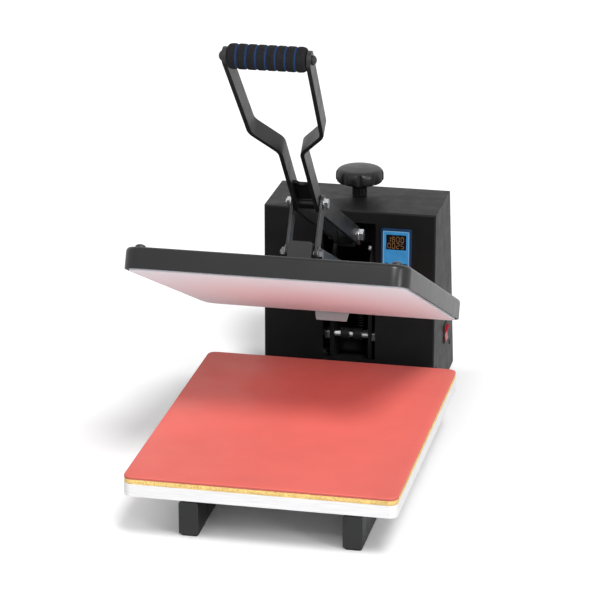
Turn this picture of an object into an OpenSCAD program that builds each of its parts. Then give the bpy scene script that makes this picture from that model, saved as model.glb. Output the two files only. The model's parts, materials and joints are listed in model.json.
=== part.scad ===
// Clamshell flat heat press, shown open.
// A soft pad lies on a table plate, and a heated platen swings down on it when the toggle handle is pulled.
// Millimetres, +Z up, +X to the right, +Y to the back.
// The origin is on the floor, under the middle of the whole press.

/* [Table] */
// Width of the pad and the table plate
pad_w = 380; // [340:5:420]
// Depth of the pad and the table plate, front to back
pad_d = 500; // [440:5:560]
// Thickness of the silicone pad
pad_t = 4; // [2:0.5:8]
// Thickness of the sponge layer under the pad
sponge_t = 7; // [4:0.5:14]
// Thickness of the aluminium table plate
table_t = 18; // [12:1:24]
// Corner radius of the table plate and its layers
table_r = 12; // [6:1:24]
// How deep the table bolts reach into the table plate
table_bolt_depth = 10; // [6:0.5:11]

/* [Base] */
// Height of the rubber feet
foot_t = 3; // [2:0.5:6]
// Length of each rubber foot
foot_l = 50; // [20:1:80]
// Width of a base rail
rail_w = 28; // [20:1:36]
// Height of a base rail
rail_h = 48; // [36:1:60]
// Wall of a base rail
rail_wall = 2; // [1.5:0.5:4]
// How far the rails start behind the front edge of the table
rail_setback = 72; // [40:1:110]
// How far the rails stop in front of the housing's back edge
rail_tail = 30; // [20:1:60]
// Thickness of a rail cap's front flange
cap_t = 2.5; // [1.5:0.5:4]
// How far a rail cap reaches into its rail
cap_plug_l = 15; // [8:1:25]
// Height of the cross members between the rails and the table
cross_h = 34; // [24:1:45]
// Width of a cross member, front to back
cross_w = 44; // [36:1:70]
// Wall of a cross member
cross_wall = 3; // [2:0.5:5]
// Distance between the two cross members
cross_pitch = 260; // [180:5:280]
// Distance between the table bolts, side to side
table_bolt_pitch = 180; // [120:5:190]
// Thickness of the base plate inside the housing
base_t = 5; // [3:0.5:8]

/* [Housing] */
// Width of the housing
box_w = 267; // [250:1:300]
// Free space between the table and the housing
box_gap = 129; // [120:1:150]
// Depth of the housing's top
box_top_d = 131; // [125:1:160]
// How much further back the housing reaches at its foot
box_lean = 62; // [45:1:80]
// Height of the housing's top above the floor
box_h = 310; // [300:1:335]
// Gap between the floor and the housing's side walls
box_clear = 5; // [3:0.5:12]
// Sheet thickness of the housing
box_wall = 1.5; // [1:0.1:2.5]
// Outer bend radius of the housing's edges
box_r = 3; // [3:0.5:10]
// Width of the slot in the housing's front
slot_w = 82; // [76:1:88]
// Distance from the housing's top to the top of the slot
slot_drop = 19; // [14:1:24]
// Height of the slot's sill above the floor
slot_sill = 70; // [62:1:90]
// Number of vent slots in the rear panel
vent_count = 7; // [3:1:9]
// Width of one vent slot
vent_w = 44; // [30:1:56]

/* [Hinge and toggle] */
// How far the platen stands open
open_angle = 24.3; // [18:0.1:28]
// Platen hinge, behind the housing's front
hinge_in = 51; // [44:1:58]
// Platen hinge, above the pad
hinge_rise = 58; // [54:1:66]
// Handle pivot, in front of the housing
toggle_out = 19; // [17:1:26]
// Handle pivot, below the housing's top
toggle_drop = 32; // [30:0.5:40]
// Lower link pivot on the closed platen, in front of the pad's middle
press_lead = 4; // [-10:1:20]
// Lower link pivot on the closed platen, above the hinge
arm_rise = 3; // [0:0.5:6]
// Length of a link between its pivots
link_l = 74; // [66:1:82]
// How far the closed toggle stops short of its stretched length
toggle_slack = 12.7; // [9:0.1:16]
// Radius of the hinge shaft
shaft_r = 8; // [6:0.5:9]
// Radius of the link bolts
link_bolt_r = 4; // [3:0.5:5]
// Radius of the handle's pivot bolt
toggle_bolt_r = 5; // [4:0.5:6]
// Radial play of a pivot that runs
run_fit = 0.05; // [0.02:0.01:0.09]
// Radial play of the lower link pivot, which is left open
open_play = 3.5; // [3.5:0.1:4.5]

/* [Handle] */
// Length of the handle from the upper link pivot to the grip
handle_l = 377; // [320:1:420]
// Lean of the open handle from upright
handle_lean = 42.8; // [36:0.1:48]
// Width of the handle bars
bar_w = 25; // [22:1:30]
// Thickness of the handle bars
bar_t = 6; // [4:0.5:8]
// Distance between the handle bars at the pivots
bar_gap = 24; // [22:1:30]
// Height of the lower bend above the upper link pivot
bend_low = 155; // [120:1:180]
// Length of the slanted stretch between the two bends
bend_rise = 48; // [36:1:70]
// Half the distance between the bars at the upper bend
bend_half = 50; // [40:1:60]
// Bend radius of the handle bars
bend_r = 14; // [8:1:20]
// Length of the foam grip
grip_l = 106; // [96:1:130]
// Outer radius of the foam grip
grip_r = 17; // [14:0.5:21]
// Number of ribs on the foam grip
grip_ribs = 8; // [5:1:12]
// Depth of the grooves between the ribs
grip_groove = 1.6; // [0.8:0.1:3]
// Radius of the rod inside the grip
grip_rod_r = 8; // [6:0.5:10]

/* [Links] */
// Width of a link
link_w = 24; // [24:1:30]
// Thickness of a link
link_t = 4; // [4:0.5:8]
// Gap between a handle bar and its link
link_gap = 0.8; // [0.6:0.1:2]

/* [Heated platen] */
// Gap between the closed heating plate and the pad
close_gap = 0.4; // [0.3:0.1:1.5]
// How much smaller the heating plate is than the pad, on each side
heat_inset = 1; // [0:0.5:8]
// Thickness of the heating plate
heat_t = 12; // [9:0.5:13]
// How far the heating plate shows below its cover
plate_reveal = 1.5; // [1:0.1:4]
// Height of the platen cover
cover_h = 30; // [28:0.5:45]
// Wall of the platen cover
cover_wall = 2; // [1:0.1:3]
// How far the cover stands out beyond the heating plate
cover_margin = 6; // [3.5:0.1:8]
// Corner radius of the cover
cover_r = 25; // [16:1:40]
// Radius of the cover's top edge
cover_edge_r = 6; // [3:0.5:9]
// Distance of the cover screws from the cover's sides
cover_screw_in = 20; // [17:1:28]
// Radius of a cover screw's head
cover_screw_r = 7; // [5:0.5:8]
// Thickness of the insulation board
insulation_t = 8; // [4:0.5:10]
// Width of the platen arm
arm_w = 34; // [30:1:36]
// Height of the platen arm
arm_h = 36; // [32:1:42]
// Wall of the platen arm
arm_wall = 4; // [3:0.5:5]
// Thickness of the arm's mounting plate
mount_t = 8; // [5:0.5:9]
// Width of the arm's mounting plate
mount_w = 120; // [90:1:160]
// Length of the arm's mounting plate
mount_l = 150; // [110:1:180]
// Width of the rear bracket
bracket_w = 52; // [38:1:60]
// How far the rear bracket hangs below the cover
bracket_drop = 14; // [4:1:18]
// Thickness of the rear bracket
bracket_t = 3; // [2:0.5:4]

/* [Pressure screw] */
// Screw axis, behind the housing's front
screw_in = 81; // [76:1:88]
// Radius of the pressure screw
screw_r = 7; // [5:0.5:8]
// Travel of the pressure carriage
carriage_travel = 3; // [1:0.5:3]
// Radius of the knob over its lobes
knob_r = 37; // [30:1:42]
// Height of the knob's cap
knob_h = 23; // [18:1:36]
// Height of the knob's neck
knob_neck = 22; // [14:1:30]
// Radius of the knob's neck
knob_neck_r = 11.5; // [10.5:0.5:14]
// Number of lobes on the knob
knob_lobes = 9; // [5:1:10]

/* [Controls] */
// Controller centre, to the right of the middle
ctrl_x = 73.5; // [70:0.5:85]
// Distance from the housing's top to the controller's top
ctrl_drop = 24; // [20:1:40]
// Width of the controller's bezel
ctrl_w = 47; // [46:1:56]
// Height of the controller's bezel
ctrl_h = 96; // [90:1:110]
// How far the bezel stands out of the front panel
ctrl_proud = 5; // [4:0.5:9]
// Width of the display window
display_w = 31; // [24:1:36]
// Height of the display window
display_h = 24; // [16:1:26]
// Radius of a controller button
button_r = 4.5; // [3:0.1:5]
// Distance between the buttons
button_pitch = 14; // [12.5:0.5:14.5]
// Travel of a button
button_travel = 0.8; // [0.3:0.1:1]
// Rocker switch, behind the housing's front
switch_in = 105; // [90:1:130]
// Height of the rocker switch's middle above the floor
switch_h = 86; // [80:1:120]
// Width of the rocker switch's bezel
switch_w = 26; // [20:1:30]
// Height of the rocker switch's bezel
switch_l = 31; // [27:1:40]
// Tilt of the rocker to each side
rocker_tilt = 9; // [5:1:11]

/* [Hidden] */
$fn = 64;
hull_fn = 32;
eps = 0.01;
hex = 2 / sqrt(3);
// Radial or flat clearances: pressed, touching, bolted and sliding
press_fit = 0.02;
seat = 0.05;
bolt_fit = 0.1;
slide_gap = 0.3;
end_gap = 0.5;
rod_end = 3;

// Heights, from the floor up
rail_top = foot_t + rail_h;
cross_top = rail_top + cross_h;
table_top = cross_top + table_t;
sponge_top = table_top + sponge_t;
pad_top = sponge_top + pad_t;
base_top = rail_top + base_t;

// Places from front to back
pad_y = -(box_gap + box_top_d + box_lean) / 2;
table_front = pad_y - pad_d / 2;
box_y = pad_y + pad_d / 2 + box_gap;
box_top_back = box_y + box_top_d;
box_back = box_top_back + box_lean;
rail_front = table_front + rail_setback;
rail_back = box_back - rail_tail;
rail_x = box_w / 2 - box_wall - 2 - rail_w / 2;
base_tail = 8;
foot_in = 2;
foot_r = 4;

// Pivots as [y, z]: platen hinge, handle pivot, lower and upper link pivot, closed and open
hinge = [box_y + hinge_in, pad_top + hinge_rise];
toggle = [box_y - toggle_out, box_h - toggle_drop];
low_shut = [pad_y - press_lead, hinge[1] + arm_rise];
low_open = turned(low_shut, hinge, -open_angle);
bar_l = norm(toggle - low_shut) - link_l + toggle_slack;
up_open = meet(toggle, bar_l, low_open, link_l);
up_shut = meet(toggle, bar_l, low_shut, link_l);
handle_turn = bearing(up_shut - toggle) - bearing(up_open - toggle);
link_turn = bearing(low_shut - up_shut) - bearing(low_open - up_open) - handle_turn;
grip = up_open + handle_l * [-sin(handle_lean), cos(handle_lean)];
link_along = (low_open - up_open) / link_l;
link_across = [-link_along[1], link_along[0]];
// The open pivot's hole is moved along and across the link, towards the side that the pin uses
open_shift = [2.95, 0.9];
open_hole = low_open - open_shift[0] * link_along + open_shift[1] * link_across;

// Stack of the linkage from the middle out
bar_in = bar_gap / 2;
bar_mid = bar_in + bar_t / 2;
bar_out = bar_in + bar_t;
link_in = bar_out + link_gap;
link_out = link_in + link_t;
grip_half = grip_l / 2 + bar_t / 2;
washer_t = 1.6;
link_af = 13;
link_head = 5;
link_washer_r = 8.5;
arm_washer_r = 11.5;
spacer_r = 8;
toggle_af = 17;
toggle_head = 6.4;
toggle_washer_r = 10.5;
grip_end_r = 4;
grip_cap_r = 6.5;
grip_cap_h = 6;
web_up = 36;
web_l = 44;
web_t = 5;
web_notch_r = 9;

// Heated platen, closed
heat_z = pad_top + close_gap;
heat_top = heat_z + heat_t;
cover_z = heat_z + plate_reveal;
cover_top = cover_z + cover_h;
heat_w = pad_w - 2 * heat_inset;
heat_d = pad_d - 2 * heat_inset;
cover_w = heat_w + 2 * cover_margin;
cover_d = heat_d + 2 * cover_margin;
cover_shank_r = 2.5;
cover_screw_h = 5;
board_inset = 40;
board_w = pad_w - 2 * board_inset;
board_d = pad_d - 2 * board_inset;
board_r = 8;
arm_z = cover_top + mount_t;
arm_r = 4;
arm_top = arm_z + arm_h;
arm_front = low_shut[0] - 24;
arm_back = hinge[0] + 62;
tube_r = shaft_r + 9;
bush_t = 3;
bush_l = 20;
tail_gap = 3;
tail_cut_l = 22;
tail_cut_h = 14;
tail_pin = hinge + [52, -4];
tail_pin_r = 4;
mount_y = pad_y + 14;
mount_r = 10;
stud_r = 4;
stud_x = mount_w / 2 - 16;
stud_in = 18;
stud_sink = 5;
stud_end = 10;
stud_nut_h = 6;
bracket_gap = 0.5;
bracket_in = 3;
bracket_taper = 14;
bracket_neck = 12;
gland_x = 70;
gland_af = 20;
gland_nut_h = 5;
gland_r = 8;
gland_cap_h = 8;
lead_r = 4;

// Frame inside the housing
frame_in = 16;
frame_t = 6;
frame_half = 27;
tube_half = frame_half - end_gap;
frame_front = box_y + frame_in;
frame_back = box_top_back - 10;
waist_rise = 40;
waist_cut = 26;
waist_slope = 30;
lead_hole_r = 12;
lead_hole_up = 6;
flange_w = 22;
flange_in = 8;
flange_x = frame_half + frame_t + flange_w;
foot_bolt_x = frame_half + frame_t + flange_w / 2;
foot_bolt_y = [frame_front + 24, frame_back - 18];
screw_y = box_y + screw_in;
bridge_t = 15;
bridge_top = box_h - box_wall - 3;
bridge_z = bridge_top - bridge_t;
bridge_half = 17;
bridge_bolt_y = [screw_y - 8, screw_y + 8];
bridge_bolt_l = 8;
collar_h = 6;
collar_rise = 5;
screw_clear = 2;
screw_tail = 6;
knob_lift = 1;
knob_chamfer = 3;
knob_flare = 5;
neck_flutes = 12;
flute_r = 1.8;
flute_depth = 1.3;
scallop = 8;
scallop_depth = 3.8;
carriage_top = toggle[1] + 2;
carriage_h = 22;
carriage_block_h = 40;
carriage_half = bar_in - slide_gap;
block_half = 19;
nose_r = 15;
anchor_in = 107;
anchor_up = 20;
anchor = [box_y + anchor_in, base_top + anchor_up];
anchor_r = 4;
tie = [box_y + 25, pad_top - 13];
tie_r = 6;
tie_af = 19;
tie_nut_h = 8;
tie_sleeve_in = 3;
tie_sleeve_out = 16.5;
tie_sleeve_t = 3.5;
hinge_nut_af = 24;
hinge_nut_h = 9;
relay_w = 45;
relay_d = 60;
relay_h = 24;
relay_in = 20;
relay_gap = 8;
relay_step = 10;
relay_notch_w = 13;
terminal_w = 22;
terminal_h = 17;
terminal_in = 30;
terminal_pitch = 10;
terminal_ways = 6;
terminal_floor = 5;

// Lift spring: a coil with a hook at each end
spring_wire_r = 2;
spring_r = 9;
spring_turns = 10;
hook_r = anchor_r + spring_wire_r + slide_gap;
hook_turn = 230;
tail_open = turned(tail_pin, hinge, -open_angle);
spring_l = norm(tail_open - anchor);
spring_end = 13;
spring_pitch = (spring_l - 2 * spring_end) / spring_turns;

// Housing: leaning rear panel, lips, screws and inlet
rear_tilt = atan(box_lean / (box_h - box_clear));
rear_l = norm([box_lean, box_h - box_clear]);
rail_notch = 1;
slot_r = 3;
lip_w = 12;
lip_drop = 4;
lip_short = 60;
housing_screw_y = [box_y + 24, box_back - 42];
housing_screw_z = rail_top + base_t / 2;
housing_screw_r = 2;
panel_screw_r = 1.5;
panel_screw_in = 7;
vent_edge = 13;
vent_drop = 52;
vent_pitch = 11;
vent_h = 4;
vent_r = 1.9;
inlet_x = -70;
inlet_up = 74;
inlet_w = 27;
inlet_h = 20;
inlet_d = 24;
inlet_lip_w = 50;
inlet_lip_h = 27;
inlet_lip_t = 2.5;
inlet_lip_r = 5;
socket_w = 24;
socket_h = 16.5;
socket_d = 16;
pin_x = 7;
pin_y = 2;
pin_l = 14;

// Controller
ctrl_top = box_h - ctrl_drop;
ctrl_z = ctrl_top - ctrl_h / 2;
ctrl_rim = 3;
ctrl_r = 3;
ctrl_hole_w = ctrl_w - 2 * ctrl_rim + 2;
ctrl_hole_h = ctrl_h - 2 * ctrl_rim + 2;
ctrl_case_d = 58;
case_slot_w = 28;
case_slot_h = 5;
case_slot_d = 2;
display_drop = 6;
button_drop = 26;
display_z = ctrl_top - ctrl_rim - display_drop - display_h / 2;
button_z = display_z - display_h / 2 - button_drop;
face_t = 3;
face_y = box_y - 1.5;

// Rocker switch
switch_y = box_y + switch_in;
switch_rim = 2.5;
switch_lip = 2;
switch_proud = 2;
switch_d = 20;
switch_well = 14;
switch_body_w = switch_w - switch_lip - 2 * slide_gap;
rocker_w = switch_w - 2 * switch_rim - 1;
rocker_l = switch_l - 2 * switch_rim - 3.2;
rocker_sink = 3;
rocker_x = box_w / 2 - rocker_sink;
trunnion_r = 1.5;

echo(hinge = hinge, toggle = toggle, up_open = up_open, low_open = low_open, grip = grip);
echo(handle_turn = handle_turn, link_turn = link_turn, platen_ratio = open_angle / handle_turn);
echo(link_ratio = link_turn / handle_turn, pad_y = pad_y, box_y = box_y, screw_y = screw_y);
echo(ctrl_z = ctrl_z, button_z = button_z, switch_y = switch_y, rocker_x = rocker_x, pad_top = pad_top);
echo(box_back = box_back, spring_gap = spring_self_gap());

// Turn point p by angle a about point c
function turned(p, c, a) = c + [
    (p[0] - c[0]) * cos(a) - (p[1] - c[1]) * sin(a),
    (p[0] - c[0]) * sin(a) + (p[1] - c[1]) * cos(a)
];
// Direction of a vector, counted from the front so that it never jumps here
function bearing(v) = atan2(-v[1], -v[0]);
// Upper point at distance ra from a and rb from b
function meet(a, ra, b, rb) =
    let (
        d = norm(b - a),
        u = (b - a) / d,
        s = (ra * ra - rb * rb + d * d) / (2 * d),
        h = sqrt(ra * ra - s * s)
    )
    a + s * u + h * [u[1], -u[0]];
function unit(v) = v / norm(v);
function left_of(v) = [-v[1], v[0]];
// Points of a quarter arc from angle a to a + 90
function quarter(c, r, a) = [for (i = [0 : 6]) c + r * [cos(a + 15 * i), sin(a + 15 * i)]];
// A bent path: each inner corner becomes a curve that starts reach before it
function bent(path, reach) = [
    path[0],
    for (i = [1 : len(path) - 2])
        let (p = path[i], q = p - reach * unit(p - path[i - 1]), s = p + reach * unit(path[i + 1] - p))
        for (t = [0 : 0.25 : 1]) (1 - t) * (1 - t) * q + 2 * t * (1 - t) * p + t * t * s,
    path[len(path) - 1]
];
// Point i of a path, moved sideways by d with mitred corners
function shifted(path, i, d) =
    let (
        n = len(path),
        a = left_of(unit(path[max(i, 1)] - path[max(i, 1) - 1])),
        b = left_of(unit(path[min(i + 1, n - 1)] - path[min(i + 1, n - 1) - 1])),
        m = a + b
    )
    path[i] + m * (2 * d / (m * m));
// Outline of a strip of thickness t along a path
function strip(path, t) = concat(
    [for (i = [0 : len(path) - 1]) shifted(path, i, t / 2)],
    [for (i = [len(path) - 1 : -1 : 0]) shifted(path, i, -t / 2)]
);

// Middle line of the lift spring: hook, coil and hook in one
function spring_path() = concat(
    [for (i = [0 : 10]) hook_point(hook_turn * (i / 10 - 1))],
    [for (k = [1 : 2]) lead_point(k / 3)],
    [for (i = [0 : 8 * spring_turns]) coil_point(i / 8)],
    [for (k = [2 : -1 : 1]) mirrored_end(lead_point(k / 3))],
    [for (i = [10 : -1 : 0]) mirrored_end(hook_point(hook_turn * (i / 10 - 1)))]
);
function hook_point(a) = [0, hook_r * cos(a), hook_r * sin(a)];
function lead_point(k) = [0, hook_r + (spring_r - hook_r) * k, spring_end * k];
function coil_point(turn) = [
    -spring_r * sin(360 * turn), spring_r * cos(360 * turn), spring_end + spring_pitch * turn
];
function mirrored_end(p) = [p[0], p[1], spring_l - p[2]];
// Least free gap between neighbouring turns of the coil
function spring_self_gap() =
    let (path = spring_path(), first = 13)
    min([for (i = [first : first + 8 * (spring_turns - 1)]) norm(path[i + 8] - path[i])]) - 2 * spring_wire_r;

// Tube with six sides along a path, its ring carried along without twist
module tube(path, r) {
    n = len(path);
    ahead = [for (i = [0 : n - 1]) unit(path[min(i + 1, n - 1)] - path[max(i - 1, 0)])];
    side = [
        for (i = 0, s = [1, 0, 0]; i < n; i = i + 1, s = i < n ? unit(s - (s * ahead[i]) * ahead[i]) : s) s
    ];
    rings = [
        for (i = [0 : n - 1])
            let (u = unit(side[i] - (side[i] * ahead[i]) * ahead[i]), v = cross(ahead[i], u))
            for (k = [0 : 5]) path[i] + r * (cos(60 * k) * u + sin(60 * k) * v)
    ];
    walls = [
        for (i = [0 : n - 2])
            for (k = [0 : 5])
                let (a = 6 * i + k, b = 6 * i + (k + 1) % 6)
                each [[a, b + 6, b], [a, a + 6, b + 6]]
    ];
    ends = [for (k = [1 : 4]) each [[0, k, k + 1], [6 * n - 6, 6 * n - 6 + k + 1, 6 * n - 6 + k]]];
    polyhedron(points = rings, faces = concat(walls, ends));
}

// Extrude a profile drawn in y and z along X
module along_x(x0, x1) {
    translate([x0, 0, 0]) rotate([90, 0, 90]) linear_extrude(x1 - x0) children();
}
module rod_x(r, x0, x1, p) {
    translate([x0, p[0], p[1]]) rotate([0, 90, 0]) cylinder(r = r, h = x1 - x0);
}
module hex_x(af, x0, x1, p) {
    translate([x0, p[0], p[1]]) rotate([0, 90, 0]) cylinder(d = af * hex, h = x1 - x0, $fn = 6);
}
module hex_z(af, z0, z1, p) {
    translate([p[0], p[1], z0]) cylinder(d = af * hex, h = z1 - z0, $fn = 6);
}
module washer_x(r_in, r_out, x0, x1, p) {
    difference() {
        rod_x(r_out, x0, x1, p);
        rod_x(r_in, x0 - 1, x1 + 1, p);
    }
}
// Bolt across the linkage: head on the right, nut on the left, a washer under each
module pivot_bolt(p, r, af, head_h, half, washer_r) {
    seat_x = half + slide_gap + washer_t + seat;
    rod_x(r, -seat_x - head_h - 2, seat_x + eps, p);
    hex_x(af, seat_x, seat_x + head_h, p);
    for (x = [half + slide_gap, -half - slide_gap - washer_t])
        washer_x(r + seat, washer_r, x, x + washer_t, p);
    difference() {
        hex_x(af, -seat_x - head_h, -seat_x, p);
        rod_x(r + seat, -seat_x - head_h - 1, -seat_x + 1, p);
    }
}
// Flat strap with round ends between two points
module strap(a, b, w) {
    translate(a) circle(d = w);
    translate(b) circle(d = w);
    translate(a) rotate(atan2(b[1] - a[1], b[0] - a[0])) translate([0, -w / 2]) square([norm(b - a), w]);
}
module round_rect(w, d, r) {
    square([w - 2 * r, d], center = true);
    square([w, d - 2 * r], center = true);
    for (x = [-1, 1], y = [-1, 1]) translate([x * (w / 2 - r), y * (d / 2 - r)]) circle(r);
}
// Turn the closed platen to its open place
module platen_open() {
    translate([0, hinge[0], hinge[1]])
        rotate([-open_angle, 0, 0]) translate([0, -hinge[0], -hinge[1]]) children();
}
// Handle frame: z runs from the upper link pivot towards the grip
module in_handle() {
    translate([0, up_open[0], up_open[1]]) rotate([handle_lean, 0, 0]) children();
}
// Rear panel frame: y points out of the panel, z runs down from its top edge as negative values
module on_rear() {
    translate([0, box_top_back, box_h]) rotate([rear_tilt, 0, 0]) children();
}
module table_layer(z, t) {
    translate([0, pad_y, z]) linear_extrude(t) round_rect(pad_w, pad_d, table_r);
}
module at_table_bolts() {
    for (x = [-1, 1], y = [-1, 1])
        translate([x * table_bolt_pitch / 2, pad_y + y * cross_pitch / 2, 0]) children();
}

module base_rail(side) {
    color([0.07, 0.07, 0.08])
    translate([side * rail_x, rail_front + cap_t, foot_t + rail_h / 2])
    rotate([-90, 0, 0])
    linear_extrude(rail_back - rail_front - 2 * cap_t)
    difference() {
        round_rect(rail_w, rail_h, rail_wall + 1);
        square([rail_w - 2 * rail_wall, rail_h - 2 * rail_wall], center = true);
    }
}
module base_rail_left() {
    base_rail(-1);
}
module base_rail_right() {
    base_rail(1);
}
module rail_end_cap() {
    linear_extrude(cap_t) round_rect(rail_w, rail_h, rail_wall + 1);
    translate([0, 0, cap_t - eps])
    linear_extrude(cap_plug_l)
    square([rail_w - 2 * rail_wall - 2 * slide_gap, rail_h - 2 * rail_wall - 2 * slide_gap], center = true);
}
module rail_end_caps() {
    color([0.05, 0.05, 0.05])
    for (x = [-1, 1]) {
        translate([x * rail_x, rail_front, foot_t + rail_h / 2]) rotate([-90, 0, 0]) rail_end_cap();
        translate([x * rail_x, rail_back, foot_t + rail_h / 2]) rotate([90, 0, 0]) rail_end_cap();
    }
}
module rubber_feet() {
    color([0.12, 0.12, 0.12])
    for (x = [-1, 1], y = [rail_front + cap_t + foot_l / 2, rail_back - cap_t - foot_l / 2])
        translate([x * rail_x, y, 0])
            linear_extrude(foot_t) round_rect(rail_w - 2 * foot_in, foot_l, foot_r);
}
// Channel that is open below, standing on both rails
module cross_member(y) {
    half = rail_x + rail_w / 2;
    color([0.09, 0.09, 0.1])
    difference() {
        translate([-half, y - cross_w / 2, rail_top]) cube([2 * half, cross_w, cross_h]);
        translate([-half - 1, y - cross_w / 2 + cross_wall, rail_top - 1])
            cube([2 * half + 2, cross_w - 2 * cross_wall, cross_h - cross_wall + 1]);
        at_table_bolts()
            translate([0, 0, rail_top]) cylinder(r = link_bolt_r + slide_gap, h = cross_h + 1);
    }
}
module front_cross_member() {
    cross_member(pad_y - cross_pitch / 2);
}
module rear_cross_member() {
    cross_member(pad_y + cross_pitch / 2);
}
module base_plate() {
    front = box_y + box_r + slide_gap;
    half = box_w / 2 - box_wall - 2 * seat;
    color([0.2, 0.2, 0.21])
    difference() {
        translate([-half, front, rail_top]) cube([2 * half, rail_back - base_tail - front, base_t]);
        for (x = [-1, 1], y = foot_bolt_y)
            translate([x * foot_bolt_x, y, rail_top - 1])
                cylinder(r = link_bolt_r + bolt_fit, h = base_t + 2);
    }
}
module table_bolts() {
    web = cross_top - cross_wall;
    color([0.75, 0.76, 0.78])
    at_table_bolts() {
        hex_z(link_af, web - link_head, web, [0, 0]);
        translate([0, 0, web - eps]) cylinder(r = link_bolt_r, h = cross_wall + table_bolt_depth - 1);
    }
}
module table_plate() {
    color([0.86, 0.87, 0.88])
    difference() {
        table_layer(cross_top, table_t);
        at_table_bolts()
            translate([0, 0, cross_top - 1]) cylinder(r = link_bolt_r + bolt_fit, h = table_bolt_depth + 1);
    }
}
module sponge_layer() {
    color([0.95, 0.8, 0.42]) table_layer(table_top, sponge_t);
}
module silicone_pad() {
    color([0.88, 0.4, 0.36]) table_layer(sponge_top, pad_t);
}

// Cheek plate with a foot flange, cut back above the hinge and below the bridge
module frame_plate(side) {
    low_z = base_top;
    waist = hinge[1] + waist_rise;
    neck_y = frame_front + waist_cut;
    color([0.13, 0.13, 0.14])
    mirror([side < 0 ? 1 : 0, 0, 0])
    difference() {
        union() {
            along_x(frame_half, frame_half + frame_t)
            polygon([
                [frame_front, low_z], [frame_front, waist], [neck_y, waist + waist_slope],
                [neck_y, bridge_top], [frame_back, bridge_top], [frame_back, low_z]
            ]);
            translate([frame_half, frame_front + flange_in, low_z])
                cube([frame_t + flange_w, frame_back - frame_front - flange_in, frame_t]);
        }
        rod_x(shaft_r + seat, frame_half - 1, frame_half + frame_t + 1, hinge);
        rod_x(tie_r + seat, frame_half - 1, frame_half + frame_t + 1, tie);
        rod_x(anchor_r + seat, frame_half - 1, frame_half + frame_t + 1, anchor);
        rod_x(lead_hole_r, frame_half - 1, frame_half + frame_t + 1, [screw_y, waist + lead_hole_up]);
        for (y = bridge_bolt_y)
            rod_x(link_bolt_r + bolt_fit, frame_half - 1, frame_half + frame_t + 1,
                [y, bridge_z + bridge_t / 2]);
        for (y = foot_bolt_y)
            translate([foot_bolt_x, y, low_z - 1]) cylinder(r = link_bolt_r + bolt_fit, h = frame_t + 2);
    }
}
module frame_plate_left() {
    frame_plate(-1);
}
module frame_plate_right() {
    frame_plate(1);
}
module frame_bolts() {
    foot_z = base_top + frame_t + seat;
    out_x = frame_half + frame_t + seat;
    color([0.7, 0.71, 0.73])
    for (side = [0, 1]) mirror([side, 0, 0]) {
        for (y = foot_bolt_y) {
            p = [foot_bolt_x, y];
            hex_z(link_af, foot_z, foot_z + link_head, p);
            translate([p[0], p[1], rail_top + 0.5]) cylinder(r = link_bolt_r, h = base_t + frame_t);
        }
        for (y = bridge_bolt_y) {
            p = [y, bridge_z + bridge_t / 2];
            hex_x(link_af, out_x, out_x + link_head, p);
            rod_x(link_bolt_r, frame_half - bridge_bolt_l, out_x + eps, p);
        }
    }
}
module screw_bridge() {
    color([0.16, 0.16, 0.17])
    difference() {
        translate([-frame_half, screw_y - bridge_half, bridge_z])
            cube([2 * frame_half, 2 * bridge_half, bridge_t]);
        translate([0, screw_y, bridge_z - 1]) cylinder(r = screw_r + run_fit, h = bridge_t + 2);
        for (x = [-1, 1], y = bridge_bolt_y)
            translate([x * frame_half, y, bridge_z + bridge_t / 2])
                rotate([0, 90, 0])
                    cylinder(r = link_bolt_r + bolt_fit, h = 2 * bridge_bolt_l + 2, center = true);
    }
}
// Rod with a nut outside each cheek plate
module cross_rod(p, r, af, nut_h) {
    half = frame_half + frame_t + seat;
    rod_x(r, -half - nut_h - rod_end, half + nut_h + rod_end, p);
    for (x = [half, -half - nut_h])
        difference() {
            hex_x(af, x, x + nut_h, p);
            rod_x(r + seat, x - 1, x + nut_h + 1, p);
        }
}
// Bright rod with two dark sleeves
module frame_tie_rod() {
    color([0.82, 0.83, 0.85]) {
        cross_rod(tie, tie_r, tie_af, tie_nut_h);
        for (x = [tie_sleeve_in, -tie_sleeve_out])
            washer_x(tie_r + seat, tie_r + tie_sleeve_t, x, x + tie_sleeve_out - tie_sleeve_in, tie);
    }
}
module hinge_shaft() {
    half = frame_half + frame_t + hinge_nut_h + rod_end;
    color([0.78, 0.79, 0.8]) rod_x(shaft_r, -half, half, hinge);
}
module hinge_nuts() {
    half = frame_half + frame_t + seat;
    color([0.72, 0.73, 0.75])
    for (x = [half, -half - hinge_nut_h])
        difference() {
            hex_x(hinge_nut_af, x, x + hinge_nut_h, hinge);
            rod_x(shaft_r + seat, x - 1, x + hinge_nut_h + 1, hinge);
        }
}
module spring_anchor() {
    half = frame_half + frame_t;
    color([0.7, 0.71, 0.73]) rod_x(anchor_r, -half, half, anchor);
}
module lift_spring() {
    d = tail_open - anchor;
    color([0.62, 0.63, 0.65])
    translate([0, anchor[0], anchor[1]])
    rotate([-atan2(d[0], d[1]), 0, 0])
    tube(spring_path(), spring_wire_r);
}

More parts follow.
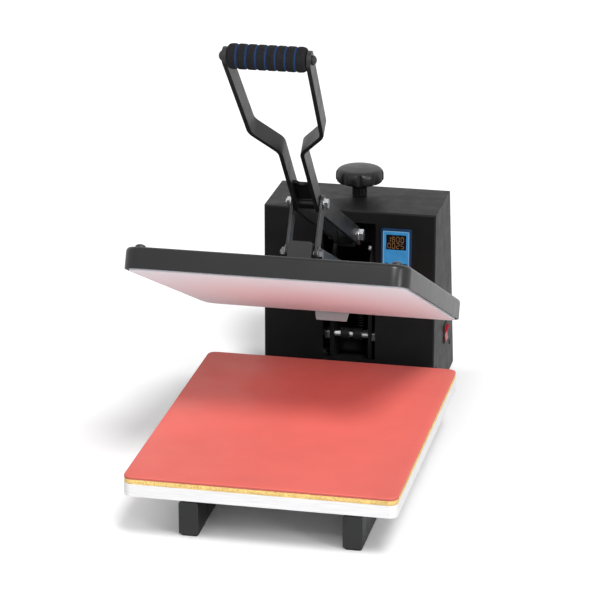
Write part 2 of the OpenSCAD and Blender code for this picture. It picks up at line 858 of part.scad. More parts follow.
// Solid of the housing, drawn in by inset and open towards the back and the floor when tail is true
module box_solid(inset, tail) {
    front = box_y + inset;
    top = box_h - inset;
    r = box_r - inset;
    half = box_w / 2 - inset;
    low = box_clear - (tail ? 1 : 0);
    extra = tail ? 60 : 0;
    intersection() {
        along_x(-half, half)
        polygon(concat(
            [[front, low]],
            [for (p = quarter([-(front + r), top - r], r, 0)) [-p[0], p[1]]],
            [[box_top_back + extra, top], [box_back + extra, low]]
        ));
        translate([0, 0, low]) linear_extrude(top - low + 1) {
            translate([-half, front + r]) square([2 * half, box_back + extra - front]);
            translate([-half + r, front]) square([2 * half - 2 * r, r + 1]);
            for (x = [-1, 1]) translate([x * (half - r), front + r]) circle(r);
        }
    }
}
module housing_shell() {
    rail_half = rail_x + rail_w / 2 + rail_notch;
    color([0.1, 0.1, 0.11])
    difference() {
        union() {
            difference() {
                box_solid(0, false);
                box_solid(box_wall, true);
            }
            // Return flanges that the rear panel is screwed to
            for (x = [-1, 1])
                on_rear()
                translate([
                    x * (box_w / 2 - box_wall - lip_w / 2 + eps),
                    -1.5 * box_wall - seat,
                    -rear_l / 2 - lip_drop
                ])
                cube([lip_w, box_wall, rear_l - lip_short], center = true);
        }
        translate([0, box_y, (box_h - slot_drop + slot_sill) / 2])
            rotate([90, 0, 0])
            linear_extrude(4 * box_wall, center = true)
            round_rect(slot_w, box_h - slot_drop - slot_sill, slot_r);
        translate([-rail_half, box_y - 1, 0]) cube([2 * rail_half, box_r + 1, rail_top + 2 * rail_notch]);
        translate([ctrl_x, box_y, ctrl_z])
            cube([ctrl_hole_w, 4 * box_wall, ctrl_hole_h], center = true);
        translate([0, screw_y, box_h - 10]) cylinder(r = screw_r + screw_clear, h = 20);
        translate([box_w / 2, switch_y, switch_h])
            cube([4 * box_wall, switch_w - switch_lip, switch_l - switch_lip], center = true);
        for (x = [-1, 1], y = housing_screw_y)
            translate([x * box_w / 2, y, housing_screw_z])
                rotate([0, 90, 0])
                    cylinder(r = housing_screw_r + bolt_fit, h = 4 * box_wall, center = true);
        on_rear()
            at_panel_screws() cylinder(r = panel_screw_r + bolt_fit, h = 8 * box_wall, center = true);
    }
}
module at_panel_screws() {
    for (x = [-1, 1], k = [0.14, 0.5, 0.84])
        translate([x * (box_w / 2 - box_wall - panel_screw_in), 0, -k * rear_l])
            rotate([90, 0, 0]) children();
}
module rear_panel() {
    color([0.1, 0.1, 0.11])
    on_rear()
    difference() {
        translate([-box_w / 2 + box_wall + slide_gap, -box_wall, -rear_l])
            cube([box_w - 2 * box_wall - 2 * slide_gap, box_wall, rear_l - 2 * box_wall]);
        for (i = [0 : vent_count - 1], x = [-1, 1])
            translate([x * (box_w / 2 - vent_edge - vent_w / 2), 0, -vent_drop - vent_pitch * i])
                rotate([90, 0, 0])
                    linear_extrude(4 * box_wall, center = true) round_rect(vent_w, vent_h, vent_r);
        translate([inlet_x, 0, -rear_l + inlet_up])
            cube([inlet_w + 1, 4 * box_wall, inlet_h + 1], center = true);
        at_panel_screws() cylinder(r = panel_screw_r + bolt_fit, h = 8 * box_wall, center = true);
    }
}
module pan_head(r, h, shank_r, shank_l) {
    intersection() {
        cylinder(r = r, h = h);
        translate([0, 0, h - 1.6 * r]) sphere(1.6 * r);
    }
    translate([0, 0, -shank_l]) cylinder(r = shank_r, h = shank_l + eps);
}
module housing_screws() {
    color([0.08, 0.08, 0.08])
    for (x = [-1, 1], y = housing_screw_y)
        translate([x * (box_w / 2 + seat), y, housing_screw_z])
            rotate([0, x * 90, 0]) pan_head(4.5, 2.6, housing_screw_r, box_wall);
}
module panel_screws() {
    color([0.08, 0.08, 0.08])
    on_rear()
    at_panel_screws()
    translate([0, 0, -seat]) rotate([180, 0, 0]) pan_head(3.5, 2, panel_screw_r, 2 * box_wall);
}
// Three-pin inlet with its hollow socket
module power_inlet() {
    color([0.06, 0.06, 0.06])
    on_rear()
    translate([inlet_x, seat, -rear_l + inlet_up])
    rotate([-90, 0, 0]) {
        difference() {
            union() {
                linear_extrude(inlet_lip_t) round_rect(inlet_lip_w, inlet_lip_h, inlet_lip_r);
                translate([0, 0, -inlet_d])
                    linear_extrude(inlet_d + eps) square([inlet_w, inlet_h], center = true);
            }
            translate([0, 0, -socket_d])
                linear_extrude(2 * socket_d) square([socket_w, socket_h], center = true);
        }
        for (p = [[-pin_x, -pin_y], [pin_x, -pin_y], [0, pin_y]])
            translate([p[0], p[1], -socket_d - 2]) linear_extrude(pin_l) square([2, 4], center = true);
    }
}
module relay_module() {
    color([0.82, 0.8, 0.74])
    translate([-flange_x - relay_gap - relay_w, frame_front + relay_in, base_top])
    difference() {
        cube([relay_w, relay_d, relay_h]);
        for (y = [-eps, relay_d - relay_step])
            translate([(relay_w - relay_notch_w) / 2, y, relay_h / 2])
                cube([relay_notch_w, relay_step + eps, relay_h]);
    }
}
module terminal_block() {
    color([0.9, 0.9, 0.88])
    translate([flange_x + relay_gap, frame_front + terminal_in, base_top])
    difference() {
        cube([terminal_w, terminal_pitch * terminal_ways, terminal_h]);
        for (i = [0 : terminal_ways - 1], x = [0.25, 0.75])
            translate([x * terminal_w, terminal_pitch * (i + 0.5), terminal_floor])
                cylinder(r = 3, h = terminal_h);
    }
}

module controller_case() {
    w = ctrl_hole_w - 2 * slide_gap;
    h = ctrl_hole_h - 2 * slide_gap;
    color([0.08, 0.08, 0.09])
    translate([ctrl_x - w / 2, box_y + 0.5, ctrl_z - h / 2])
    difference() {
        cube([w, ctrl_case_d, h]);
        for (k = [0.15 : 0.17 : 0.85])
            translate([(w - case_slot_w) / 2, ctrl_case_d - case_slot_d, k * h - case_slot_h / 2])
                cube([case_slot_w, case_slot_d + 1, case_slot_h]);
    }
}
module controller_bezel() {
    color([0.1, 0.2, 0.42])
    translate([ctrl_x, box_y, ctrl_z])
    rotate([90, 0, 0])
    linear_extrude(ctrl_proud)
    difference() {
        round_rect(ctrl_w, ctrl_h, ctrl_r);
        round_rect(ctrl_w - 2 * ctrl_rim, ctrl_h - 2 * ctrl_rim, ctrl_r / 2);
    }
}
module controller_face() {
    color([0.2, 0.52, 0.76])
    translate([ctrl_x, face_y, ctrl_z])
    rotate([90, 0, 0])
    linear_extrude(face_t)
    difference() {
        round_rect(ctrl_w - 2 * ctrl_rim - 2 * seat, ctrl_h - 2 * ctrl_rim - 2 * seat, ctrl_r / 2);
        translate([0, display_z - ctrl_z]) square([display_w, display_h], center = true);
        for (i = [-1 : 1]) translate([i * button_pitch, button_z - ctrl_z]) circle(button_r + slide_gap);
    }
}
module display_window() {
    color([0.06, 0.05, 0.05])
    translate([ctrl_x, face_y - face_t / 2, display_z])
    cube([display_w - 2 * seat, face_t - 0.6, display_h - 2 * seat], center = true);
}
// Round button with a flange that keeps it behind the face
module controller_button(i) {
    color([0.85, 0.86, 0.88])
    translate([ctrl_x + i * button_pitch, face_y + seat, button_z])
    rotate([90, 0, 0])
    rotate_extrude()
    polygon([
        [0, -0.8], [button_r + 1, -0.8], [button_r + 1, 0], [button_r, 0],
        [button_r, face_t + 1.2], [button_r - 0.6, face_t + 1.8], [0, face_t + 1.8]
    ]);
}
module button_left() {
    controller_button(-1);
}
module button_middle() {
    controller_button(0);
}
module button_right() {
    controller_button(1);
}

// Frame of the rocker switch, with its body behind the side wall
module switch_bezel() {
    color([0.05, 0.05, 0.05])
    translate([box_w / 2 + seat, switch_y, switch_h])
    rotate([90, 0, 90])
    difference() {
        union() {
            linear_extrude(switch_proud) round_rect(switch_w, switch_l, 2);
            translate([0, 0, -switch_d])
                linear_extrude(switch_d + eps)
                square([switch_body_w, switch_l - switch_lip - 2 * slide_gap], center = true);
        }
        translate([0, 0, -switch_well])
            linear_extrude(2 * switch_well)
            square([switch_w - 2 * switch_rim, switch_l - 2 * switch_rim], center = true);
        translate([0, 0, -rocker_sink - seat])
            rotate([0, 90, 0]) cylinder(r = trunnion_r + run_fit, h = switch_w, center = true);
    }
}
// Rocker with two slanted halves, turning on round trunnions, resting with its lower half pressed in
module switch_rocker() {
    belly = 6;
    valley = rocker_sink + 1.8;
    peak = valley + 3.7;
    color([0.72, 0.05, 0.08])
    translate([rocker_x, switch_y, switch_h])
    rotate([0, rocker_tilt, 0])
    rotate([90, 0, 0]) {
        linear_extrude(rocker_w, center = true)
        union() {
            polygon([
                [peak, rocker_l / 2], [valley, 0], [peak, -rocker_l / 2],
                [valley - 2.3, 1 - rocker_l / 2], [-belly / 2, -belly / 2],
                [-belly / 2, belly / 2], [valley - 2.3, rocker_l / 2 - 1]
            ]);
            translate([-belly / 2, 0]) circle(belly / 2);
        }
        cylinder(r = trunnion_r, h = switch_body_w - slide_gap, center = true);
    }
}

// Lobed, domed cap on a flared neck
module pressure_knob() {
    base = box_h + knob_lift;
    shoulder = knob_h * 0.5;
    crown = knob_h * 0.92;
    flat_r = knob_r * 0.72;
    straight = knob_neck * 0.55;
    color([0.06, 0.06, 0.06])
    translate([0, screw_y, base])
    difference() {
        union() {
            translate([0, 0, knob_neck])
            intersection() {
                rotate_extrude()
                polygon(concat(
                    [[0, 0], [knob_r - knob_chamfer, 0], [knob_r, knob_chamfer], [knob_r, shoulder]],
                    [for (a = [15 : 15 : 90])
                        [flat_r + (knob_r - flat_r) * cos(a), shoulder + (crown - shoulder) * sin(a)]],
                    [[flat_r * 0.6, (crown + 2 * knob_h) / 3], [flat_r * 0.3, knob_h - 0.2], [0, knob_h]]
                ));
                linear_extrude(knob_h + 1)
                difference() {
                    circle(knob_r);
                    for (i = [0 : knob_lobes - 1])
                        rotate(360 / knob_lobes * i)
                            translate([knob_r + scallop - scallop_depth, 0]) circle(scallop);
                }
            }
            difference() {
                rotate_extrude()
                polygon([
                    [0, 0], [knob_neck_r, 0], [knob_neck_r, straight],
                    [knob_neck_r + knob_flare, knob_neck * 0.9], [knob_neck_r + knob_flare, knob_neck + 1],
                    [0, knob_neck + 1]
                ]);
                for (i = [0 : neck_flutes - 1])
                    rotate(360 / neck_flutes * i)
                        translate([knob_neck_r + flute_r - flute_depth, 0, -1])
                            cylinder(r = flute_r, h = straight + 1);
            }
        }
        translate([0, 0, -1]) cylinder(r = screw_r + seat, h = knob_neck + 1);
    }
}
module pressure_screw() {
    end = carriage_top - carriage_block_h - carriage_travel - screw_tail;
    color([0.5, 0.51, 0.53])
    translate([0, screw_y, 0]) {
        translate([0, 0, end]) cylinder(r = screw_r, h = box_h + knob_neck - end);
        translate([0, 0, bridge_z - collar_h - slide_gap])
            cylinder(r = screw_r + collar_rise, h = collar_h);
    }
}
// Bar with an eye for the handle bolt and a guide block that slides between the cheek plates
module pressure_carriage() {
    color([0.11, 0.11, 0.12])
    difference() {
        union() {
            along_x(-carriage_half, carriage_half) {
                translate(toggle) circle(nose_r);
                translate([toggle[0], carriage_top - carriage_h])
                    square([screw_y - toggle[0], carriage_h]);
            }
            translate([-frame_half + slide_gap, screw_y - block_half, carriage_top - carriage_block_h])
                cube([2 * (frame_half - slide_gap), 2 * block_half, carriage_block_h]);
        }
        rod_x(toggle_bolt_r + seat, -carriage_half - 1, carriage_half + 1, toggle);
        translate([0, screw_y, carriage_top - carriage_block_h - 1])
            cylinder(r = screw_r + run_fit, h = carriage_block_h + 2);
    }
}
module carriage_bolt() {
    color([0.8, 0.81, 0.83])
        pivot_bolt(toggle, toggle_bolt_r, toggle_af, toggle_head, bar_out, toggle_washer_r);
}

module at_studs() {
    for (x = [-1, 1], y = [mount_y + stud_in, mount_y + mount_l - stud_in])
        translate([x * stud_x, y, 0]) children();
}
module at_cover_screws() {
    for (x = [-1, 1], y = [-1, 1])
        translate([x * (cover_w / 2 - cover_screw_in), pad_y + y * (cover_d / 2 - cover_screw_in), 0])
            children();
}
module heating_plate() {
    color([0.88, 0.88, 0.89])
    platen_open()
    difference() {
        translate([0, pad_y, heat_z])
            linear_extrude(heat_t) round_rect(heat_w, heat_d, cover_r - cover_margin);
        at_studs() translate([0, 0, heat_top - stud_sink - 1]) cylinder(r = stud_r + bolt_fit, h = heat_t);
        at_cover_screws()
            translate([0, 0, heat_top - stud_sink - 1]) cylinder(r = cover_shank_r + bolt_fit, h = heat_t);
    }
}
module insulation_board() {
    color([0.78, 0.76, 0.7])
    platen_open()
    difference() {
        translate([0, pad_y, heat_top]) linear_extrude(insulation_t) round_rect(board_w, board_d, board_r);
        at_studs() translate([0, 0, heat_top - 1]) cylinder(r = stud_r + slide_gap, h = insulation_t + 2);
    }
}
// Solid of the cover: four round posts with a rounded top edge, wrapped
module cover_solid(inset, h) {
    r = cover_r - inset;
    e = max(cover_edge_r - inset, 1);
    hull()
    for (x = [-1, 1], y = [-1, 1])
        translate([x * (cover_w / 2 - cover_r), pad_y + y * (cover_d / 2 - cover_r), cover_z])
            rotate_extrude($fn = hull_fn)
            polygon(concat([[0, 0], [r, 0]], quarter([r - e, h - e], e, 0), [[0, h]]));
}
module platen_cover() {
    color([0.22, 0.22, 0.23])
    platen_open()
    difference() {
        cover_solid(0, cover_h);
        translate([0, 0, -1]) cover_solid(cover_wall, cover_h - cover_wall + 1);
        at_studs()
            translate([0, 0, cover_top - 2 * cover_wall])
                cylinder(r = stud_r + slide_gap, h = 4 * cover_wall);
        at_cover_screws()
            translate([0, 0, cover_top - 2 * cover_wall])
                cylinder(r = cover_shank_r + slide_gap, h = 4 * cover_wall);
    }
}
module cover_screws() {
    color([0.05, 0.05, 0.05])
    platen_open()
    at_cover_screws()
    translate([0, 0, cover_top + seat])
        pan_head(cover_screw_r, cover_screw_h, cover_shank_r, cover_top - heat_top + stud_sink);
}
module platen_studs() {
    color([0.72, 0.73, 0.75])
    platen_open()
    at_studs() {
        translate([0, 0, heat_top - stud_sink])
            cylinder(r = stud_r, h = arm_z - heat_top + stud_sink + stud_end);
        for (z = [arm_z + seat, heat_top + insulation_t + seat])
            difference() {
                hex_z(link_af, z, z + stud_nut_h, [0, 0]);
                translate([0, 0, z - 1]) cylinder(r = stud_r + seat, h = stud_nut_h + 2);
            }
    }
}
module arm_mount_plate() {
    color([0.12, 0.12, 0.13])
    platen_open()
    difference() {
        translate([0, mount_y + mount_l / 2, cover_top])
            linear_extrude(mount_t) round_rect(mount_w, mount_l, mount_r);
        at_studs() translate([0, 0, cover_top - 1]) cylinder(r = stud_r + bolt_fit, h = mount_t + 2);
    }
}
// Box-section arm with a hinge tube and an open tail for the spring
module platen_arm() {
    inner_w = arm_w - 2 * arm_wall;
    color([0.14, 0.14, 0.15])
    platen_open()
    difference() {
        union() {
            difference() {
                translate([0, arm_back, arm_z + arm_h / 2])
                rotate([90, 0, 0])
                linear_extrude(arm_back - arm_front) round_rect(arm_w, arm_h, arm_r);
                translate([-inner_w / 2, arm_front + arm_wall, arm_z + arm_wall])
                    cube([inner_w, arm_back - arm_front, arm_h - 2 * arm_wall]);
                translate([-inner_w / 2, hinge[0] + tube_r + tail_gap, arm_z - 1])
                    cube([inner_w, arm_back - hinge[0], arm_h / 2]);
                translate([-arm_w, arm_back - tail_cut_l, arm_top - tail_cut_h])
                    cube([2 * arm_w, 2 * tail_cut_l, 2 * tail_cut_h]);
            }
            rod_x(tube_r, -tube_half, tube_half, hinge);
        }
        rod_x(shaft_r + bush_t, -tube_half - 1, tube_half + 1, hinge);
        rod_x(link_bolt_r + bolt_fit, -arm_w, arm_w, low_shut);
        rod_x(tail_pin_r + seat, -arm_w, arm_w, tail_pin);
    }
}
module hinge_bushes() {
    color([0.72, 0.55, 0.28])
    platen_open()
    for (x = [-tube_half, tube_half - bush_l])
        washer_x(shaft_r + run_fit, shaft_r + bush_t - press_fit, x, x + bush_l, hinge);
}
module tail_pin_bolt() {
    color([0.7, 0.71, 0.73])
        platen_open() rod_x(tail_pin_r, -arm_w / 2 - rod_end, arm_w / 2 + rod_end, tail_pin);
}
// Tapered tab behind the cover, under the arm
module rear_bracket() {
    y = pad_y + cover_d / 2 + bracket_gap;
    low = cover_z - bracket_drop;
    half = bracket_w / 2;
    low_bend = low + bracket_taper;
    high_bend = arm_z - bracket_neck;
    color([0.75, 0.75, 0.76])
    platen_open()
    translate([0, y + bracket_t, 0])
    rotate([90, 0, 0])
    linear_extrude(bracket_t)
    polygon([
        [bracket_in - half, low], [half - bracket_in, low], [half, low_bend],
        [half, high_bend], [arm_w / 2, arm_z], [-arm_w / 2, arm_z],
        [-half, high_bend], [-half, low_bend]
    ]);
}
// Gland for the heater lead, on the back of the cover
module heater_gland() {
    color([0.06, 0.06, 0.06])
    platen_open()
    translate([gland_x, pad_y + cover_d / 2 + seat, cover_z + cover_h / 2])
    rotate([-90, 0, 0])
    difference() {
        union() {
            cylinder(d = gland_af * hex, h = gland_nut_h, $fn = 6);
            translate([0, 0, gland_nut_h - eps]) cylinder(r = gland_r, h = gland_nut_h);
            translate([0, 0, 2 * gland_nut_h - 2 * eps])
                cylinder(r1 = gland_r, r2 = gland_r - 2, h = gland_cap_h);
        }
        translate([0, 0, 2]) cylinder(r = lead_r, h = 2 * gland_nut_h + gland_cap_h);
    }
}
module arm_bolt() {
    spacer_half = link_in - slide_gap;
    color([0.8, 0.81, 0.83])
    platen_open() {
        pivot_bolt(low_shut, link_bolt_r, link_af, link_head, link_out, arm_washer_r);
        for (x = [-1, 1])
            translate([x * (arm_w / 2 + spacer_half) / 2, 0, 0])
                washer_x(link_bolt_r + seat, spacer_r, (arm_w / 2 + seat - spacer_half) / 2,
                    (spacer_half - arm_w / 2 - seat) / 2, low_shut);
    }
}

// Outline of a handle bar from the side, with its pivot and grip holes
module bar_outline() {
    difference() {
        union() {
            strap(toggle, up_open, bar_w);
            strap(up_open, grip, bar_w);
        }
        translate(toggle) circle(toggle_bolt_r + run_fit);
        translate(up_open) circle(link_bolt_r + seat);
        translate(grip) circle(grip_end_r + bolt_fit);
    }
}
// Bar that is flat at the pivots and spreads in two bends towards the grip
module handle_bar(side) {
    reach = 2 * (handle_l + bar_l);
    over = bar_w;
    top_half = grip_half + (grip_half - bend_half) * over / (handle_l - bend_low - bend_rise);
    path = bent([
        [bar_mid, -reach], [bar_mid, bend_low], [bend_half, bend_low + bend_rise], [top_half, handle_l + over]
    ], bend_r * 0.6);
    color([0.09, 0.09, 0.1])
    mirror([side < 0 ? 1 : 0, 0, 0])
    intersection() {
        along_x(0, grip_half + 4 * bar_t) bar_outline();
        in_handle() rotate([90, 0, 0]) linear_extrude(reach, center = true) polygon(strip(path, bar_t));
    }
}
module handle_bar_left() {
    handle_bar(-1);
}
module handle_bar_right() {
    handle_bar(1);
}
module handle_web() {
    color([0.07, 0.07, 0.07])
    in_handle()
    translate([0, 0, web_up])
    difference() {
        cube([bar_gap, web_t, web_l], center = true);
        translate([0, 0, web_l / 2 + web_notch_r / 2])
            rotate([90, 0, 0]) cylinder(r = web_notch_r, h = 2 * web_t, center = true);
    }
}
module pivot_spacer() {
    half = bar_in - seat;
    color([0.6, 0.61, 0.63]) washer_x(link_bolt_r + seat, spacer_r + 1, -half, half, up_open);
}
module handle_bolt() {
    color([0.8, 0.81, 0.83]) {
        pivot_bolt(up_open, link_bolt_r, link_af, link_head, link_out, link_washer_r);
        for (x = [bar_out + seat, -bar_out - link_gap + slide_gap])
            washer_x(link_bolt_r + seat, spacer_r, x, x + link_gap - slide_gap - seat, up_open);
    }
}
// Rod between the bars with a cap bolt at each end
module grip_rod() {
    inner = grip_half - bar_t / 2 - end_gap;
    outer = grip_half + bar_t / 2 + end_gap;
    color([0.05, 0.05, 0.05]) {
        rod_x(grip_rod_r, -inner, inner, grip);
        rod_x(grip_end_r, -outer - eps, outer + eps, grip);
        for (x = [0, 1])
            mirror([x, 0, 0])
            translate([outer, grip[0], grip[1]])
            rotate([0, 90, 0])
            intersection() {
                cylinder(r = grip_cap_r, h = grip_cap_h);
                translate([0, 0, -grip_cap_h / 3]) sphere(4 / 3 * grip_cap_h);
            }
    }
}
// Foam sleeve with rounded ribs
module foam_grip() {
    rib = (grip_l - 2 * end_gap) / grip_ribs;
    color([0.08, 0.08, 0.09])
    translate([-grip_ribs * rib / 2, grip[0], grip[1]])
    rotate([0, 90, 0])
    rotate_extrude()
    polygon(concat(
        [[grip_rod_r + slide_gap, 0]],
        [for (i = [0 : grip_ribs - 1], t = [0 : 0.125 : 0.875])
            [grip_r - grip_groove * pow(abs(2 * t - 1), 4), rib * (i + t)]],
        [[grip_r - grip_groove, grip_ribs * rib], [grip_rod_r + slide_gap, grip_ribs * rib]]
    ));
}
module links() {
    color([0.13, 0.13, 0.14])
    for (x = [0, 1])
        mirror([x, 0, 0])
        along_x(link_in, link_out)
        difference() {
            strap(up_open, low_open, link_w);
            translate(up_open) circle(link_bolt_r + run_fit);
            translate(open_hole) circle(link_bolt_r + open_play);
        }
}

base_rail_left();
base_rail_right();
rail_end_caps();
rubber_feet();
front_cross_member();
rear_cross_member();
base_plate();
table_bolts();
table_plate();
sponge_layer();
silicone_pad();
frame_plate_left();
frame_plate_right();
frame_bolts();
screw_bridge();
frame_tie_rod();
hinge_shaft();
hinge_nuts();
spring_anchor();
lift_spring();
housing_shell();
rear_panel();
housing_screws();
panel_screws();
power_inlet();
relay_module();
terminal_block();
controller_case();
controller_bezel();
controller_face();
display_window();
button_left();
button_middle();
button_right();
switch_bezel();
switch_rocker();
pressure_knob();
pressure_screw();
pressure_carriage();
carriage_bolt();
heating_plate();
insulation_board();
platen_cover();
cover_screws();
platen_studs();
arm_mount_plate();
platen_arm();
hinge_bushes();
tail_pin_bolt();
rear_bracket();
heater_gland();
arm_bolt();
handle_bar_left();
handle_bar_right();
handle_web();
pivot_spacer();
handle_bolt();
grip_rod();
foam_grip();
links();
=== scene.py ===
"""Looks of a clamshell flat heat press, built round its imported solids.

Soft layers, the foam grip, the lift spring and the display are worked out here as surfaces.
The rigid solids keep their shapes, and get eased edges and procedural finishes.
"""

import json
import math

import bmesh
import bpy
import numpy as np
from bpy.props import FloatProperty, FloatVectorProperty, IntProperty, PointerProperty
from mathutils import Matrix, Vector


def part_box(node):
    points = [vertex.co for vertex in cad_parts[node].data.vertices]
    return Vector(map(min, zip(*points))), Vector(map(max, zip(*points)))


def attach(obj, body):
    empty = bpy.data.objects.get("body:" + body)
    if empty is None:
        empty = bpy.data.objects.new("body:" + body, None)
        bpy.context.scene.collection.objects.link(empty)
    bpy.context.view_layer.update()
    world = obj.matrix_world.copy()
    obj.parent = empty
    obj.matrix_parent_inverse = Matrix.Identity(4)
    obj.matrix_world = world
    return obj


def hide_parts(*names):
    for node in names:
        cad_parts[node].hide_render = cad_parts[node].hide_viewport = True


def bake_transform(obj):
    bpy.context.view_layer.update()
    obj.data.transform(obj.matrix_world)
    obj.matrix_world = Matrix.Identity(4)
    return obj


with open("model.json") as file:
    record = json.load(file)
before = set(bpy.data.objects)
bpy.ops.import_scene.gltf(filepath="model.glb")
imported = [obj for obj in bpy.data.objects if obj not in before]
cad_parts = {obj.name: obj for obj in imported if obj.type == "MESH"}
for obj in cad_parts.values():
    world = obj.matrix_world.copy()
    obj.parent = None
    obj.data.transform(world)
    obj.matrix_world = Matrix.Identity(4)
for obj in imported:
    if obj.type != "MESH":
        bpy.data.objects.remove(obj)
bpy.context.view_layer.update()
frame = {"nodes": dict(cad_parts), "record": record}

bl_info = {
    "name": "Flat heat press",
    "version": (1, 0, 0),
    "blender": (4, 5, 0),
    "location": "View3D > Sidebar > Press",
    "description": "Dresses the solids of a clamshell heat press",
    "category": "Object",
}

# Angle past which an edge stays sharp, and below which faces count as one plane
SHARP = math.radians(32)
PLANE = math.radians(0.4)
# Distances under which points of a new mesh and of a copied solid are one point, in metres
SAME_POINT = 1e-7
SAME_CORNER = 2e-6
# Rings on the flat faces of a slab, as insets in metres, and on its side, as shares of the side's height
RINGS_BELOW = (0.05, 0.01)
RINGS_BESIDE = (0.15, 0.35, 0.5, 0.65, 0.85)
RINGS_ABOVE = (0.01, 0.03, 0.06)
# Brush lines of a shaft that is ground round, as noise scales along x, y and z
GROUND = (1800, 40, 40)


def colour(name, text, value):
    """A colour property with its default."""
    return FloatVectorProperty(
        name=name, description=text, default=value, size=3, min=0.0, max=1.0, subtype="COLOR"
    )


def length(name, text, value, low, high):
    """A length property in metres with its default and its limits."""
    return FloatProperty(
        name=name, description=text, default=value, min=low, max=high, unit="LENGTH", precision=4
    )


def amount(name, text, value, low, high):
    """A plain number with its default and its limits."""
    return FloatProperty(name=name, description=text, default=value, min=low, max=high)


class PressFinishes(bpy.types.PropertyGroup):
    """Colours of the press, as linear values."""

    pad_red: colour("Pad", "Silicone pad", (0.86, 0.168, 0.135))
    sponge_yellow: colour("Sponge", "Sponge layer under the pad", (0.93, 0.66, 0.24))
    housing_black: colour("Housing", "Powder coat of the control box", (0.008, 0.008, 0.0083))
    cover_charcoal: colour("Cover", "Powder coat of the platen cover", (0.016, 0.016, 0.0165))
    bar_black: colour("Bars", "Paint of the handle bars and links", (0.012, 0.012, 0.0125))
    rail_black: colour("Rails", "Paint of the base rails", (0.012, 0.012, 0.013))
    face_blue: colour("Controller face", "Film on the controller", (0.04, 0.27, 0.58))
    line_blue: colour("Controller line", "Line along the film's edge", (0.2, 0.42, 0.66))
    rim_blue: colour("Controller rim", "Frame of the controller", (0.005, 0.035, 0.095))
    ring_blue: colour("Grip rings", "Rings in the grooves of the grip", (0.016, 0.05, 0.15))
    rocker_red: colour("Rocker", "Rocker of the switch", (0.5, 0.008, 0.018))
    digit_amber: colour("Digits", "Lit digits of the display", (0.26, 0.13, 0.055))
    zinc: colour("Zinc", "Plating of the bolts", (0.56, 0.57, 0.59))
    plate_white: colour("Heating plate", "Coated face of the heating plate", (0.9, 0.93, 0.99))


class PressSizes(bpy.types.PropertyGroup):
    """Sizes of the shapes that are worked out here."""

    pad_corner: length("Pad corner", "Radius of the corners of pad and sponge", 0.012, 0.002, 0.03)
    pad_round: length("Pad edge", "Rounding of the pad's edges", 0.0012, 0.0003, 0.0019)
    sponge_round: length("Sponge edge", "Rounding of the sponge's edges", 0.0008, 0.0003, 0.002)
    sponge_bulge: length("Sponge bulge", "How far the sponge swells at its side", 0.0006, 0.0, 0.001)
    sponge_wave: length("Sponge wave", "Unevenness of the sponge's cut edge", 0.0004, 0.0, 0.001)
    grip_ribs: IntProperty(name="Grip ribs", description="Ribs of the foam grip", default=8, min=5, max=12)
    grip_bore: length("Grip bore", "Radius of the hole through the grip", 0.0083, 0.005, 0.012)
    grip_groove: length("Grip groove", "Depth of the grooves in the grip", 0.0019, 0.0005, 0.003)
    grip_taper: length("Grip taper", "Length of the cones at the grip's ends", 0.007, 0.002, 0.012)
    stop_across: length("Stop bolt width", "Width of its head across the flats", 0.0085, 0.005, 0.012)
    stop_height: length("Stop bolt height", "Height of its head", 0.0055, 0.003, 0.008)
    stop_seat: length("Stop bolt seat", "Depth of its head in the plate", 0.0003, 0.0001, 0.001)
    stop_back: length("Stop bolt back", "Stop bolt behind the plate's front edge", 0.03, 0.02, 0.04)
    stop_drop: length("Stop bolt drop", "Stop bolt below the plate's top edge", 0.0695, 0.05, 0.09)
    hook_radius: length("Spring hooks", "Radius of the spring's hooks", 0.0063, 0.004, 0.01)
    coil_radius: length("Spring coil", "Radius of the spring's coil", 0.009, 0.006, 0.012)
    wire_radius: length("Spring wire", "Radius of the spring's wire", 0.002, 0.001, 0.003)
    spring_lead: length("Spring lead", "Straight run from a hook to the coil", 0.013, 0.006, 0.02)
    spring_turns: IntProperty(name="Spring turns", description="Turns of the coil", default=10, min=5, max=20)
    film_line: length("Film line", "Width of the line along the controller's film", 0.0016, 0.0005, 0.004)
    cap_ease: length("Cap edges", "Rounding of the rails' end caps", 0.0012, 0.0001, 0.002)
    steel_ease: length("Steel edges", "Rounding of cut steel edges", 0.0007, 0.0001, 0.002)
    sheet_ease: length("Sheet edges", "Rounding of sheet metal edges", 0.0004, 0.0001, 0.001)
    bolt_ease: length("Bolt edges", "Rounding of bolt heads", 0.0005, 0.0001, 0.001)


class PressStage(bpy.types.PropertyGroup):
    """Camera, floor and light."""

    azimuth: amount("Azimuth", "Camera to the right of the front, in degrees", 12.1, -180, 180)
    elevation: amount("Elevation", "Camera above the level, in degrees", 19.4, -90, 90)
    distance: length("Distance", "Camera from the middle of the pad", 4.1745, 1.0, 20.0)
    slide: length("Slide", "Camera moved to its right", 0.0041, -1.0, 1.0)
    lift: length("Lift", "Camera moved upwards", 0.1716, -1.0, 1.0)
    lens: amount("Lens", "Focal length for a 36 mm sensor", 175.71, 20, 400)
    floor_half: length("Floor", "Half the floor's side", 60.0, 5.0, 200.0)
    floor_white: amount("Floor white", "Grey value of the floor", 0.97, 0, 1)
    floor_lift: amount("Floor lift", "White that the camera sees on the floor", 0.32, 0, 1)
    # Width over which the camera's floor white fades into the painted shade under the table
    painted_shade_fade: length("Floor fade", "Way in which that white fades out under the table", 0.1, 0.01, 1.0)
    sky: amount("Sky", "Even light from all sides", 0.3, 0, 2)
    top: amount("Top light", "Main light from above and the front", 2.1, 0, 5)
    side: amount("Side light", "Soft light from the right", 0.8, 0, 5)
    fill: amount("Fill", "Low light from the front", 0.1, 0, 5)


def finishes():
    """The colours that are set for the press."""
    return bpy.context.scene.press_finishes


def sizes():
    """The sizes that are set for the press."""
    return bpy.context.scene.press_sizes


# Materials


